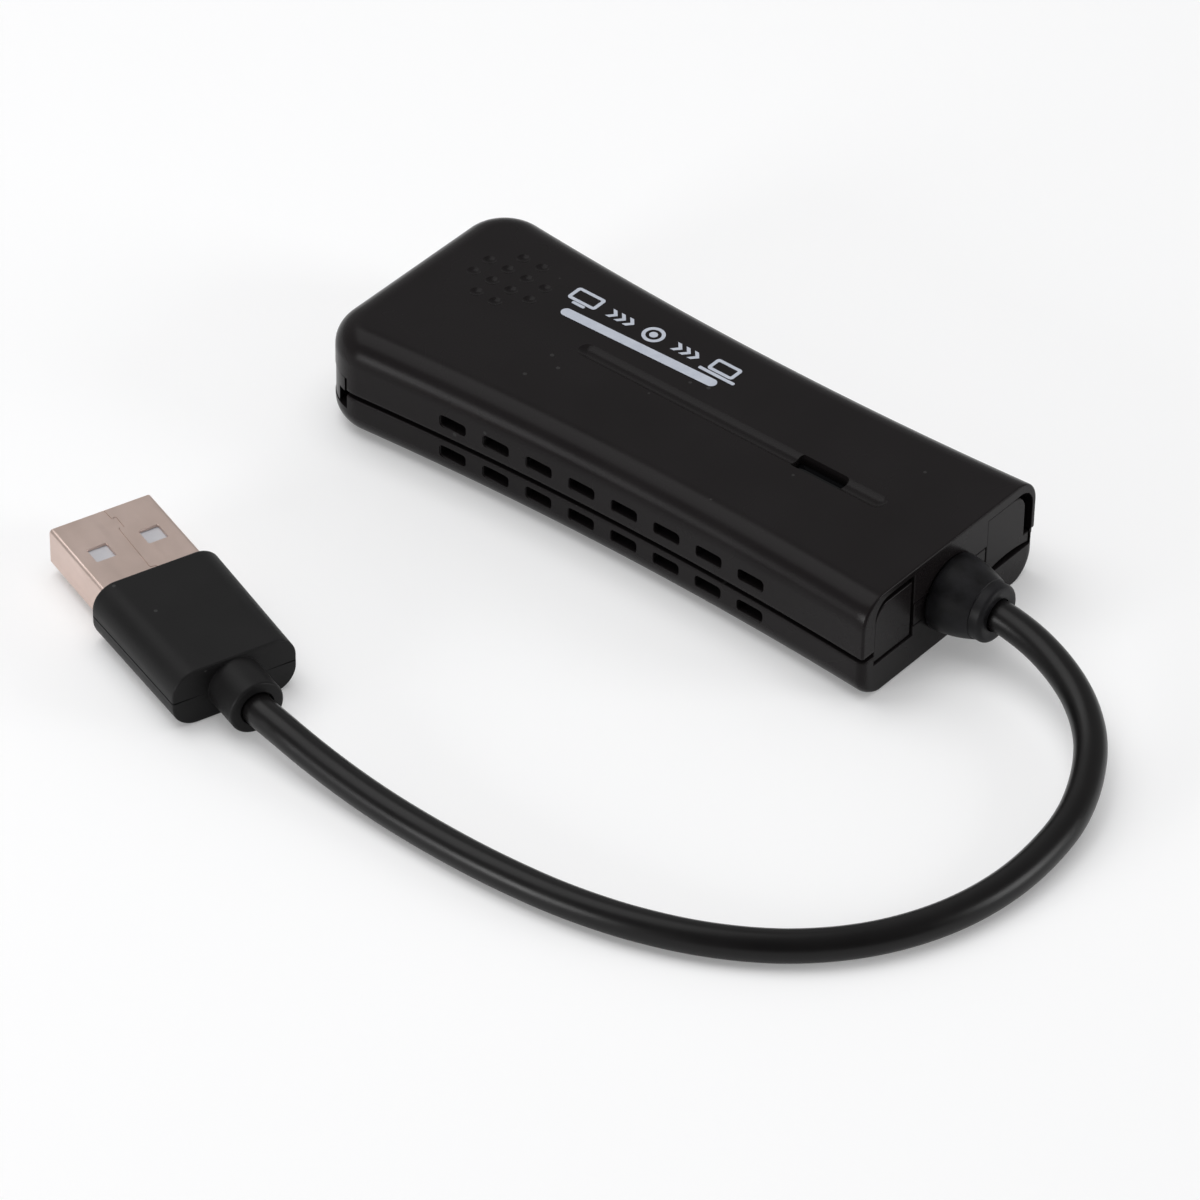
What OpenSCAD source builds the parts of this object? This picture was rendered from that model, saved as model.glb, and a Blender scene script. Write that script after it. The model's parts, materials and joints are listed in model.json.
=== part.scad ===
// Video capture box: a two-shell moulded casing with a video socket in one end and a captive
// data cord with a type-A plug at the other. Millimetres, +X toward the cord end, +Z up,
// origin under the middle of the casing on the surface that it lies on.

/* [Casing] */
// Length of the casing from the socket end to the cord end
casing_l = 74; // [72:1:80]
// Width at the waist, where the concave sides come closest
waist_w = 27; // [26:0.5:30]
// Place of the waist, from the middle of the casing toward the cord end
waist_x = 7; // [3:1:10]
// Radius of the concave long sides, seen from above
side_arc_r = 420; // [380:10:600]
// Height of the closed casing
casing_h = 12.8; // [12.4:0.2:14]
// Radius of the two corners at the socket end, seen from above
far_corner_r = 5.6; // [5.2:0.2:7]
// Radius of the rolled edge round the top
top_edge_r = 3.3; // [2.6:0.1:3.6]
// Radius of the rolled edge round the bottom
bottom_edge_r = 3; // [2.6:0.1:3.4]
// Thickness of the moulded walls
wall = 1.5; // [1.3:0.1:1.7]
// Thickness of the wall at the cord end
end_wall = 2; // [1.6:0.1:2.4]

/* [Seam between the shells] */
// Height of the middle of the seam
seam_z = 5.5; // [5.3:0.1:5.7]
// Open width of the seam
seam_gap = 0.6; // [0.3:0.1:0.8]
// Height of the lower shell's inner lip above the seam
lip_h = 0.9; // [0.6:0.1:1]
// Play between the lip and the upper shell
lip_fit = 0.1; // [0.05:0.05:0.2]

/* [Side vents] */
// Number of vent slots in each row
vent_n = 8; // [6:1:9]
// Distance from one slot to the next
vent_pitch = 5.7; // [5:0.1:5.9]
// Length of a slot
vent_l = 3.4; // [3:0.1:4]
// Height of a slot
vent_h = 1.4; // [1:0.1:1.5]
// Radius of the corners of a slot
vent_r = 0.4; // [0.2:0.1:0.5]
// Distance from the cord end to the first slot
vent_from_end = 15.4; // [14:0.2:17]
// Height of the upper row above the seam
vent_up = 2.25; // [2.2:0.05:2.4]
// Depth of the lower row below the seam
vent_down = 1.8; // [1.6:0.05:2]

/* [Top face] */
// Length of the shallow groove on the middle line
groove_l = 41; // [36:1:44]
// Width of the groove
groove_w = 2.2; // [1.8:0.1:2.6]
// Depth of the groove
groove_depth = 0.4; // [0.3:0.05:0.6]
// Distance from the cord end to the groove
groove_from_end = 8.8; // [8:0.2:10]
// Length of the light slot in the groove
slot_l = 6.2; // [5:0.1:7]
// Width of the light slot
slot_w = 2; // [1.6:0.1:2.4]
// Distance from the cord end to the middle of the light slot
slot_from_end = 17.4; // [17:0.1:17.6]
// Number of dimples along each side of the grip patch
dimple_n = 4; // [3:1:5]
// Distance between dimples
dimple_pitch = 2.6; // [2:0.1:2.8]
// Depth of a dimple
dimple_depth = 0.25; // [0.15:0.05:0.4]
// Distance from the socket end to the middle of the grip patch
dimple_from_far = 11; // [10:0.5:13]
// Distance of the grip patch from the middle line
dimple_y = 4; // [0:0.5:5]

/* [End panels at the cord end] */
// Half width of the middle web between the panels
web_half_w = 6.2; // [6:0.1:6.6]
// Height of the joint in the middle web
web_seam_z = 8.1; // [7.8:0.1:8.4]
// Width of the side rim beside the left panel
left_rim_w = 2; // [1.6:0.1:2.4]
// Width of the side rim beside the right panel
right_rim_w = 0.7; // [0.6:0.1:1.6]
// Width of the rim above the left panel
left_top_w = 0.8; // [0.7:0.1:1.6]
// Width of the rim above the right panel
right_top_w = 1.3; // [0.8:0.1:1.6]
// Height of the lower edge of the panel windows
panel_lo_z = 4; // [3.8:0.1:4.2]
// Radius of the upper outer corners of the panels and their windows
panel_corner_r = 2.2; // [1.6:0.1:2.6]
// Gap round a panel
panel_fit = 0.2; // [0.1:0.05:0.3]
// Extra gap above the left panel
left_top_gap = 0.8; // [0:0.1:1]
// Extra gap at the outer side of the right panel
right_side_gap = 0.9; // [0:0.1:1.1]
// Extra gap under the right panel
right_under_gap = 0.3; // [0:0.1:0.5]
// Depth of the panels behind the rim
panel_recess = 0.2; // [0:0.1:0.5]
// Height of the fine line across the web under the cord
web_line_z = 2.9; // [2.8:0.1:3.2]
// Width and depth of that line
web_line_w = 0.2; // [0.1:0.05:0.3]
// Thickness of the flange that holds a panel from inside
flange_t = 0.8; // [0.6:0.1:1]

/* [Port panel at the socket end] */
// Half width of the middle of the port panel
port_half_w = 9.4; // [9:0.1:9.8]
// Height of the lower edge of the port panel
port_lo_z = 2.9; // [2.8:0.05:3]
// Height of the upper edge of the port panel
port_hi_z = 10; // [9.9:0.05:10.1]
// Height of the lower edge of the wings that turn round the corners
wing_lo_z = 3.4; // [3.3:0.1:3.6]
// Height of the upper edge of the wings
wing_hi_z = 7.4; // [7.2:0.1:7.8]
// Reach of the wings along the sides
wing_l = 4.6; // [4:0.1:5]
// Shortening of the wings below the seam
wing_notch = 1; // [0:0.1:1.4]
// Gap round the port panel
port_fit = 0.2; // [0.15:0.05:0.3]
// Depth of the port panel behind the casing's surface
port_recess = 0.2; // [0.15:0.05:0.3]

/* [Circuit board] */
// Thickness of the board
board_t = 1; // [0.8:0.1:1.1]
// Height of the board's underside
board_z = 2.7; // [2.6:0.05:2.75]
// Gap between the board's long edges and the casing walls
board_gap = 0.75; // [0.7:0.05:1.2]
// Distance from the socket end to the board
board_from_far = 2.7; // [2:0.1:3]
// Distance from the cord end to the board
board_from_near = 13; // [11:0.5:13.5]
// Distance of the posts from the board's long edges
post_inset = 1.8; // [1.6:0.1:2.2]
// Diameter of the moulded posts above and below the board
post_d = 2.6; // [2.2:0.1:3]
// Diameter of the locating pins
pin_d = 1.4; // [1.2:0.1:1.6]
// Play of a pin in its hole
pin_fit = 0.1; // [0.05:0.05:0.2]

/* [Video socket] */
// Width of the socket's metal shell
socket_w = 15; // [14.8:0.1:15.4]
// Height of the socket's metal shell
socket_h = 5.6; // [5.5:0.05:5.7]
// Depth of the socket's metal shell
socket_l = 11.4; // [11:0.1:11.8]
// Thickness of the socket's sheet metal
socket_t = 0.3; // [0.25:0.05:0.35]

/* [Cord and strain relief] */
// Diameter of the cord
cord_d = 3.5; // [3:0.1:3.7]
// Height of the cord's axis where it leaves the casing
boot_z = 6.2; // [6.1:0.05:6.3]
// Diameter of the strain relief where it leaves the casing
boot_base_d = 8.8; // [8.2:0.2:9.6]
// Diameter of the strain relief's end collar
boot_tip_d = 6.6; // [6:0.1:7]
// Length of the strain relief outside the casing
boot_l = 6.3; // [6:0.1:8]
// Diameter of the strain relief's neck in the end wall
boot_neck_d = 7; // [6.4:0.2:7.4]
// Diameter of the strain relief's flange inside the casing
boot_flange_d = 8.8; // [8.4:0.1:9]
// Play of the neck in the end wall
boot_fit = 0.1; // [0.05:0.05:0.2]
// Diameter of an insulated conductor
wire_d = 0.9; // [0.7:0.1:1]

/* [Plug] */
// Width of the plug's metal shell
plug_w = 12; // [11.9:0.1:12.1]
// Height of the plug's metal shell
plug_h = 4.5; // [4.4:0.1:4.6]
// Length of the metal shell in front of the grip
plug_out_l = 11.9; // [11:0.1:12.4]
// Length of the metal shell inside the grip
plug_in_l = 7; // [6:0.5:8]
// Thickness of the plug's sheet metal
plug_t = 0.3; // [0.25:0.05:0.35]
// Side of the square windows in the shell
plug_window = 2.3; // [2:0.1:2.5]
// Distance from the tip to the windows
plug_window_at = 4.9; // [4.6:0.1:5.4]
// Distance between the middles of the two windows
plug_window_pitch = 6.1; // [5.6:0.1:6.4]
// Width of the moulded grip at its front
grip_front_w = 15; // [14.4:0.2:16]
// Width of the moulded grip at its rear
grip_rear_w = 14.4; // [13.8:0.2:15]
// Height of the moulded grip
grip_h = 6.9; // [6.8:0.1:8]
// Length of the moulded grip
grip_l = 17; // [16:0.2:20]
// Radius of the grip's long edges
grip_edge_r = 2.2; // [1.8:0.1:3]
// Width of the eased edge round the grip's front
grip_ease = 0.5; // [0.3:0.1:0.8]
// Diameter of the neck between grip and cord
neck_d = 6.2; // [5.6:0.1:6.6]
// Length of the neck
neck_l = 4.7; // [4:0.1:6]
// Turn of the plug about the vertical, from the casing's long axis
plug_yaw = -19; // [-24:1:-12]

/* [Hidden] */

// Spare reach of every cutter past the surface that it cuts
over = 1;
// Numbers of straight steps in the casing's round stretches
side_steps = 12;
corner_steps = 10;
edge_steps = 8;
$fn = 48;

// Planes of the casing
near_x = casing_l / 2;
far_x = -casing_l / 2;
floor_z = wall;
roof_z = casing_h - wall;
seam_lo = seam_z - seam_gap / 2;
seam_hi = seam_z + seam_gap / 2;
lip_top = seam_hi + lip_h;
lip_inset = wall / 2;
end_lip_inset = end_wall / 2;
wall_back_x = near_x - end_wall;

// The concave sides are arcs about points far out on either side of the waist
arc_y = waist_w / 2 + side_arc_r;
corner_x = far_x + far_corner_r;
corner_y = sqrt(pow(side_arc_r + far_corner_r, 2) - pow(corner_x - waist_x, 2)) - arc_y;
corner_start = atan2(-arc_y - corner_y, waist_x - corner_x);
near_half_w = half_width(near_x);

// Board and what stands on it
board_w = waist_w - 2 * (wall + board_gap);
board_far_x = far_x + board_from_far;
board_near_x = near_x - board_from_near;
board_top = board_z + board_t;
post_y = board_w / 2 - post_inset;
post_from_far = 23;
post_from_near = 22;
pin_from_far = 15;
pin_from_near = 15.6;
post_xs = [far_x + post_from_far, near_x - post_from_near];
pin_xs = [far_x + pin_from_far, near_x - pin_from_near];
pin_stand = 0.6;
pin_top = board_top + pin_stand;
post_root = 0.5;

// Light slot and light pipe
slot_x = near_x - slot_from_end;
slot_recess = 1;
slot_r = 0.4;
pipe_fit = 0.1;
pipe_flange_t = 0.8;
pipe_flange_margin = 1;
pipe_rod_d = 2.2;
led_l = 2;
led_w = 1.25;
led_h = 0.7;
led_gap = 0.1;

// Chips and small parts: sizes along X, Y and Z
input_chip_size = [7, 7, 0.9];
capture_chip_size = [10, 10, 1.4];
memory_chip_size = [4.9, 3.9, 1.5];
crystal_size = [3.2, 2.5, 0.8];
inductor_size = [4, 4, 2];
regulator_size = [2.9, 1.6, 1.1];
chip_cap_size = [0.8, 1.6, 0.8];
resistor_size = [1.6, 0.8, 0.45];
can_d = 4;
can_h = 5.4;
lead_t = 0.15;
lead_w = 0.3;
lead_reach = 1;
lead_foot = 0.5;
capture_lead_pitch = 0.65;
capture_leads_a_side = 14;
memory_lead_pitch = 1.27;
memory_leads_a_side = 4;
chip_standoff = 0.1;
// Video socket, mouth flush with the port panel
socket_x = far_x + port_recess;
socket_chamfer = 1.8;
socket_tongue_w = 10.6;
socket_tongue_t = 0.9;
socket_tongue_l = 7.6;
socket_block_l = 2.4;
socket_tongue_up = 2.6;
socket_tongue_z = board_top + socket_tongue_up;
socket_contact_t = 0.12;
socket_contact_w = 0.4;
socket_contact_l = 5;
socket_contact_pitch = 1;
socket_contacts_upper = 10;
socket_contacts_lower = 9;

// Columns of parts along the board, evenly spaced between the socket and the solder joints
pad_from_near = 15.3;
pad_x = near_x - pad_from_near;
pad_d = 1.4;
pad_h = 0.9;
capture_chip_l = capture_chip_size[0] + 2 * lead_reach;
columns_from = socket_x + socket_l;
columns_to = pad_x - pad_d / 2;
columns_l = resistor_size[0] + input_chip_size[0] + capture_chip_l + memory_chip_size[0] + inductor_size[0];
column_gap = (columns_to - columns_from - columns_l) / 6;
resistor_x = columns_from + column_gap + resistor_size[0] / 2;
input_chip_x = resistor_x + column_gap + (resistor_size[0] + input_chip_size[0]) / 2;
capture_chip_x = input_chip_x + column_gap + (input_chip_size[0] + capture_chip_l) / 2;
memory_chip_x = capture_chip_x + column_gap + (capture_chip_l + memory_chip_size[0]) / 2;
inductor_x = memory_chip_x + column_gap + (memory_chip_size[0] + inductor_size[0]) / 2;
pair_y = 4.6;
part_gap = 1;
regulator_y = (input_chip_size[1] + regulator_size[1]) / 2 + part_gap;
chip_cap_y = capture_chip_size[1] / 2 + lead_reach + part_gap + chip_cap_size[1] / 2;
chip_cap_n = 5;
chip_cap_pitch = 2.5;
resistor_n = 7;
resistor_pitch = 1.5;

// Conductors between the cord's inner end and the board
wire_clear = 0.15;
wire_exit_l = 1;
wire_arch = 0.3;
wire_run_l = 1.6;
wire_settle = 0.1;
drain_pad_step = 1.4;
pad_pitch = 3;
inner_end_l = 4.4;
inner_end_x = wall_back_x - inner_end_l;
boot_flange_t = 1.2;
boot_collar_l = 1.4;
boot_steps = 6;
boot_curve = 1.8;
boot_step = 0.1;
wire_offset = 0.54;
drain_d = 0.5;
// Each conductor: its place across the cord, then its solder joint's place on the board
WIRES = [
    [[-wire_offset, wire_offset], [pad_x, -2 * pad_pitch]],
    [[-wire_offset, -wire_offset], [pad_x, -pad_pitch]],
    [[wire_offset, -wire_offset], [pad_x, pad_pitch]],
    [[wire_offset, wire_offset], [pad_x, 2 * pad_pitch]],
    [[0, 0], [pad_x + drain_pad_step, 0]]];
wire_sides = 8;

// Cord: places after the strain relief's end, in the order in which the cord passes them
boot_tip_x = near_x + boot_l;
cord_sides = 8;
CORD_ROUTE = [[3, -0.2, 6], [8, -1.3, 5.4], [13, -3.5, 4.5], [17.2, -7, 3.7], [20.2, -11.5, 3],
    [22.2, -16.6, 2.4], [23.1, -22.6, 2], [23, -29, 1.8], [21.5, -36.1, 1.8], [18.1, -43.1, 1.8],
    [12.7, -49.3, 1.8], [6, -53.9, 1.8], [-1, -56.9, 1.8], [-8.4, -58.8, 1.8], [-16.4, -59.8, 1.8],
    [-25, -60.1, 1.8], [-33.5, -59.9, 2], [-41, -59.4, 2.6], [-46, -58.9, 3.2]];
CORD_END = [-50, -58.2];

// Plug: its axis lies at half the grip's height
plug_z = grip_h / 2;
plug_total_l = plug_out_l + grip_l + neck_l;
plug_r = 0.45;
plug_fit = 0.05;
plug_tongue_set = 0.4;
plug_tongue_t = 1.9;
plug_contact_n = 4;
plug_contact_w = 1.2;
plug_contact_t = 0.2;
plug_contact_l = 7;
plug_contact_pitch = 2.25;
parting_w = 0.2;
parting_depth = 0.12;
slice_t = 0.01;

case_black = [0.15, 0.14, 0.14];
part_grey = [0.3, 0.3, 0.32];
rubber_black = [0.11, 0.11, 0.12];
metal = [0.75, 0.72, 0.68];
gold = [0.85, 0.66, 0.25];
board_green = [0.06, 0.3, 0.16];
chip_black = [0.08, 0.08, 0.09];
ceramic_tan = [0.66, 0.55, 0.4];

// Half the casing's width at a place along it
function half_width(x) = arc_y - sqrt(pow(side_arc_r, 2) - pow(x - waist_x, 2));

// Angle about the left side's arc centre at which that side, set in by inset, reaches x
function side_angle(x, inset) = acos((x - waist_x) / (side_arc_r + inset));

// Left half of the casing's plan outline, from the cord end round to the socket end
function left_half(inset, near_inset) =
    let (start = side_angle(near_x - near_inset, inset), stop = corner_start + 180, r = far_corner_r - inset)
    concat(
        [for (i = [0:side_steps])
            let (a = start + (stop - start) * i / side_steps)
            [waist_x + (side_arc_r + inset) * cos(a), (side_arc_r + inset) * sin(a) - arc_y]],
        [for (i = [1:corner_steps])
            let (a = corner_start - (180 + corner_start) * i / corner_steps)
            [corner_x + r * cos(a), corner_y + r * sin(a)]]);

// Whole plan outline: the left half, then its mirror image backward
function outline(inset, near_inset) =
    let (half = left_half(inset, near_inset), n = len(half))
    concat(half, [for (i = [0:n - 1]) [half[n - 1 - i][0], -half[n - 1 - i][1]]]);

// Rings of a rolled edge: [inset, end inset, height above the flat face]
function rolled_edge(r, inset, near_inset) =
    [for (i = [0:edge_steps])
        let (a = 90 * i / edge_steps)
        [inset + r * (1 - sin(a)), near_inset, inset + r * (1 - cos(a))]];

function reversed(list) = [for (i = [len(list) - 1:-1:0]) list[i]];
function unit(v) = v / norm(v);

// Closed solid through a pile of plan outlines, given as [inset, end inset, height]
module ring_stack(rings, downward = false) {
    n = 2 * (side_steps + corner_steps + 1);
    m = len(rings);
    points = [for (ring = rings) for (p = outline(ring[0], ring[1])) [p[0], p[1], ring[2]]];
    walls = [for (j = [0:m - 2]) for (i = [0:n - 1])
        [j * n + i, j * n + (i + 1) % n, (j + 1) * n + (i + 1) % n, (j + 1) * n + i]];
    first_cap = [for (i = [0:n / 2 - 2]) [i, n - 1 - i, n - 2 - i, i + 1]];
    last_cap = [for (i = [0:n / 2 - 2])
        [(m - 1) * n + i, (m - 1) * n + i + 1, m * n - 2 - i, m * n - 1 - i]];
    faces = concat(first_cap, walls, last_cap);
    polyhedron(points, downward ? [for (f = faces) reversed(f)] : faces);
}

// Tube through a list of points, with its ends square to the given directions
module tube(path, r, sides, start_dir, end_dir) {
    n = len(path);
    middle_dirs = [for (i = [1:n - 2]) unit(path[i + 1] - path[i - 1])];
    dirs = concat([unit(start_dir)], middle_dirs, [unit(end_dir)]);
    points = [for (i = [0:n - 1])
        let (across = unit(cross(dirs[i], [0, 0, 1])), rise = cross(across, dirs[i]))
        for (k = [0:sides - 1])
            let (a = 360 * (k + 0.5) / sides)
            path[i] + r * (cos(a) * across + sin(a) * rise)];
    walls = [for (i = [0:n - 2]) for (k = [0:sides - 1])
        [i * sides + k, i * sides + (k + 1) % sides, (i + 1) * sides + (k + 1) % sides, (i + 1) * sides + k]];
    caps = [[for (k = [0:sides - 1]) sides - 1 - k], [for (k = [0:sides - 1]) (n - 1) * sides + k]];
    polyhedron(points, concat(walls, caps));
}

// Box given by its two corners
module span(from, to) {
    translate(from) cube(to - from);
}

// Box standing on the board at a place, centred on it
module on_board(at, size, lift = 0) {
    translate([at[0] - size[0] / 2, at[1] - size[1] / 2, board_top + lift]) cube(size);
}

// Rectangle with round corners, centred
module round_rect(w, h, r) {
    offset(r, $fn = 24) square([w - 2 * r, h - 2 * r], center = true);
}

// Extrudes a flat shape drawn in Y and Z along X, from one plane to another
module along_x(from, to) {
    translate([from, 0, 0]) rotate([90, 0, 90]) linear_extrude(to - from) children();
}

// Row of slots through the walls of both long sides
module vent_row(z) {
    inner = (board_w + board_gap) / 2;
    for (side = [0, 1]) mirror([0, side, 0]) translate([0, waist_w, z]) rotate([90, 0, 0])
        linear_extrude(waist_w - inner) offset(vent_r, $fn = 16) for (i = [0:vent_n - 1])
            translate([near_x - vent_from_end - i * vent_pitch, 0])
                square([vent_l - 2 * vent_r, vent_h - 2 * vent_r], center = true);
}

// Flat shape with one round upper corner, drawn on the +Y side from the web outward
module panel_shape(side_rim, top_rim, lower, inset) {
    outer = near_half_w - side_rim - panel_corner_r;
    top = casing_h - top_rim - panel_corner_r;
    r = panel_corner_r - inset;
    corner = [for (i = [0:edge_steps])
        let (a = 90 * i / edge_steps)
        [outer + r * cos(a), top + r * sin(a)]];
    polygon(concat([[web_half_w + inset, lower + inset], [outer + r, lower + inset]], corner,
        [[web_half_w + inset, top + r]]));
}

module panel_windows() {
    front = near_x + over;
    back = wall_back_x - over;
    mirror([0, 1, 0]) along_x(back, front) panel_shape(left_rim_w, left_top_w, panel_lo_z, 0);
    along_x(back, front) panel_shape(right_rim_w, right_top_w, panel_lo_z, 0);
}

// Opening at the socket end, or with a gap the space left for the panel in it
module port_space(gap) {
    back = far_x + wing_l - gap;
    front = far_x - over;
    wide = waist_w;
    span([front, -port_half_w + gap, port_lo_z + gap], [back, port_half_w - gap, port_hi_z - gap]);
    span([front, -wide, wing_lo_z + gap], [back, wide, wing_hi_z - gap]);
}

module boot_hole() {
    translate([wall_back_x - over, 0, boot_z]) rotate([0, 90, 0])
        cylinder(d = boot_neck_d + 2 * boot_fit, h = end_wall + 2 * over);
}

// Outline of the video socket's shell: a flat top with two sloped lower corners
module socket_shape(inset) {
    half = socket_w / 2 - inset;
    top = board_top + socket_h - inset;
    bottom = board_top + inset;
    slope = socket_chamfer - inset * (2 - sqrt(2));
    polygon([[-half, top], [-half, bottom + slope], [-half + slope, bottom], [half - slope, bottom],
        [half, bottom + slope], [half, top]]);
}

module at_plug() {
    translate([boot_tip_x + CORD_END[0], CORD_END[1], plug_z]) rotate([0, 0, plug_yaw])
        translate([-plug_total_l, 0, 0]) children();
}

module top_shell() {
    inner_r = top_edge_r - wall;
    outside = [for (ring = rolled_edge(top_edge_r, 0, 0)) [ring[0], ring[1], casing_h - ring[2]]];
    roof = reversed(rolled_edge(inner_r, wall, end_wall));
    inside = [for (ring = roof) [ring[0], ring[1], casing_h - ring[2]]];
    rebate = lip_inset - lip_fit;
    end_rebate = end_lip_inset - lip_fit;
    step = [[0, 0, seam_hi], [rebate, end_rebate, seam_hi], [rebate, end_rebate, lip_top],
        [wall, end_wall, lip_top]];
    color(case_black) difference() {
        union() {
            ring_stack(concat(outside, step, inside), downward = true);
            for (x = post_xs, side = [-1, 1]) translate([x, side * post_y, board_top])
                cylinder(d = post_d, h = roof_z - board_top + post_root);
        }
        vent_row(seam_z + vent_up);
        panel_windows();
        span([wall_back_x - over, -web_half_w, seam_lo],
            [near_x + over, web_half_w, web_seam_z + panel_fit / 2]);
        boot_hole();
        port_space(0);
        groove();
        translate([slot_x, 0, roof_z - over]) linear_extrude(wall + 2 * over)
            round_rect(slot_l, slot_w, slot_r);
        dimples();
    }
}

// Shallow groove with a round section and round ends
module groove() {
    r = (pow(groove_w / 2, 2) + pow(groove_depth, 2)) / (2 * groove_depth);
    groove_x = near_x - groove_from_end;
    hull() for (x = [groove_x - groove_w / 2, groove_x - groove_l + groove_w / 2])
        translate([x, 0, casing_h - groove_depth + r]) sphere(r, $fn = 32);
}

// Patch of round dimples in a square grid without its corners
module dimples() {
    r = dimple_pitch / 2;
    last = dimple_n - 1;
    for (i = [0:last], j = [0:last])
        if (!((i == 0 || i == last) && (j == 0 || j == last)))
            translate([far_x + dimple_from_far, dimple_y, casing_h - dimple_depth + r])
                translate([(i - last / 2) * dimple_pitch, (j - last / 2) * dimple_pitch, 0])
                    sphere(r, $fn = 32);
}

module bottom_shell() {
    inner_r = bottom_edge_r - wall;
    step = [[0, 0, seam_lo], [lip_inset, end_lip_inset, seam_lo], [lip_inset, end_lip_inset, lip_top],
        [wall, end_wall, lip_top]];
    inside = reversed(rolled_edge(inner_r, wall, end_wall));
    web = web_half_w - panel_fit;
    color(case_black) difference() {
        union() {
            ring_stack(concat(rolled_edge(bottom_edge_r, 0, 0), step, inside));
            span([wall_back_x, -web, floor_z - post_root], [near_x, web, web_seam_z - panel_fit / 2]);
            for (x = post_xs, side = [-1, 1]) translate([x, side * post_y, floor_z - post_root])
                cylinder(d = post_d, h = board_z - floor_z + post_root);
            for (x = pin_xs, side = [-1, 1]) translate([x, side * post_y, floor_z - post_root]) {
                cylinder(d = post_d, h = board_z - floor_z + post_root);
                cylinder(d = pin_d, h = pin_top - floor_z + post_root);
            }
        }
        vent_row(seam_z - vent_down);
        panel_windows();
        boot_hole();
        port_space(0);
        span([near_x - web_line_w, -web_half_w, web_line_z],
            [near_x + over, web_half_w, web_line_z + web_line_w]);
    }
}

// Panel on the +Y side with the flange that bears on the back of the end wall
module end_panel(side_rim, top_rim, lower) {
    color(case_black) union() {
        along_x(wall_back_x, near_x - panel_recess) panel_shape(side_rim, top_rim, lower, panel_fit);
        along_x(wall_back_x - flange_t, wall_back_x) {
            panel_shape(side_rim, top_rim, lower, 2 * panel_fit);
            translate([web_half_w - flange_t, panel_lo_z - flange_t])
                square([near_half_w - side_rim - web_half_w, web_seam_z - panel_lo_z]);
        }
    }
}

module left_end_panel() {
    mirror([0, 1, 0]) end_panel(left_rim_w, left_top_w + left_top_gap, panel_lo_z);
}

module right_end_panel() {
    end_panel(right_rim_w + right_side_gap, right_top_w, panel_lo_z + right_under_gap);
}

module port_panel() {
    color(case_black) difference() {
        intersection() {
            ring_stack([[port_recess, 0, port_lo_z - over], [port_recess, 0, port_hi_z + over]]);
            port_space(port_fit);
        }
        ring_stack([[wall, 0, port_lo_z - 2 * over], [wall, 0, port_hi_z + 2 * over]]);
        along_x(far_x - over, far_x + wing_l) socket_shape(-port_fit);
        span([far_x + wing_l - port_fit - wing_notch, -waist_w, wing_lo_z],
            [far_x + wing_l, waist_w, seam_z]);
    }
}

module light_pipe() {
    rod_z = board_top + led_h + led_gap;
    flange_z = roof_z - pipe_flange_t;
    color([0.12, 0.12, 0.14]) translate([slot_x, 0, 0]) union() {
        translate([0, 0, roof_z]) linear_extrude(wall - slot_recess)
            round_rect(slot_l - 2 * pipe_fit, slot_w - 2 * pipe_fit, slot_r - pipe_fit);
        translate([0, 0, flange_z]) linear_extrude(pipe_flange_t)
            square([slot_l + 2 * pipe_flange_margin, slot_w + 2 * pipe_flange_margin], center = true);
        translate([0, 0, rod_z]) cylinder(d = pipe_rod_d, h = flange_z - rod_z);
    }
}

module main_board() {
    color(board_green) difference() {
        span([board_far_x, -board_w / 2, board_z], [board_near_x, board_w / 2, board_top]);
        for (x = pin_xs, side = [-1, 1]) translate([x, side * post_y, board_z - over])
            cylinder(d = pin_d + 2 * pin_fit, h = board_t + 2 * over);
    }
}

module video_socket_shell() {
    color(metal) difference() {
        along_x(socket_x, socket_x + socket_l) socket_shape(0);
        along_x(socket_x - over, socket_x + socket_l - socket_t) socket_shape(socket_t);
    }
}

module video_socket_tongue() {
    back = socket_x + socket_l - socket_t;
    color([0.1, 0.1, 0.1]) union() {
        along_x(back - socket_block_l, back) socket_shape(socket_t);
        span([back - socket_block_l - socket_tongue_l, -socket_tongue_w / 2, socket_tongue_z],
            [back - socket_block_l, socket_tongue_w / 2, socket_tongue_z + socket_tongue_t]);
    }
}

module video_socket_contacts() {
    front = socket_x + socket_l - socket_t - socket_block_l - socket_contact_l;
    rows = [[socket_contacts_upper, socket_tongue_z + socket_tongue_t],
        [socket_contacts_lower, socket_tongue_z - socket_contact_t]];
    color(gold) for (row = rows) for (i = [0:row[0] - 1])
        translate([front, (i - (row[0] - 1) / 2) * socket_contact_pitch - socket_contact_w / 2, row[1]])
            cube([socket_contact_l, socket_contact_w, socket_contact_t]);
}

module input_chip() {
    color(chip_black) on_board([input_chip_x, 0], input_chip_size);
}

module capture_chip() {
    color(chip_black) on_board([capture_chip_x, 0], capture_chip_size, chip_standoff);
}

// Gull-wing lead leaving a chip body toward +Y, from the body's face at half its height
module gull_lead(chip_h) {
    mid = chip_standoff + chip_h / 2;
    rotate([90, 0, 90]) translate([0, 0, -lead_w / 2]) linear_extrude(lead_w)
        polygon([[0, mid], [lead_foot, mid], [lead_foot, lead_t], [lead_reach, lead_t], [lead_reach, 0],
            [lead_foot - lead_t, 0], [lead_foot - lead_t, mid - lead_t], [0, mid - lead_t]]);
}

// Row of leads along one side of a chip, centred
module lead_row(count, pitch, reach, chip_h) {
    for (i = [0:count - 1]) translate([(i - (count - 1) / 2) * pitch, reach, 0]) gull_lead(chip_h);
}

module capture_chip_leads() {
    half = capture_chip_size[1] / 2;
    color(metal) translate([capture_chip_x, 0, board_top]) for (turn = [0, 90, 180, 270])
        rotate([0, 0, turn]) lead_row(capture_leads_a_side, capture_lead_pitch, half, capture_chip_size[2]);
}

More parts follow.
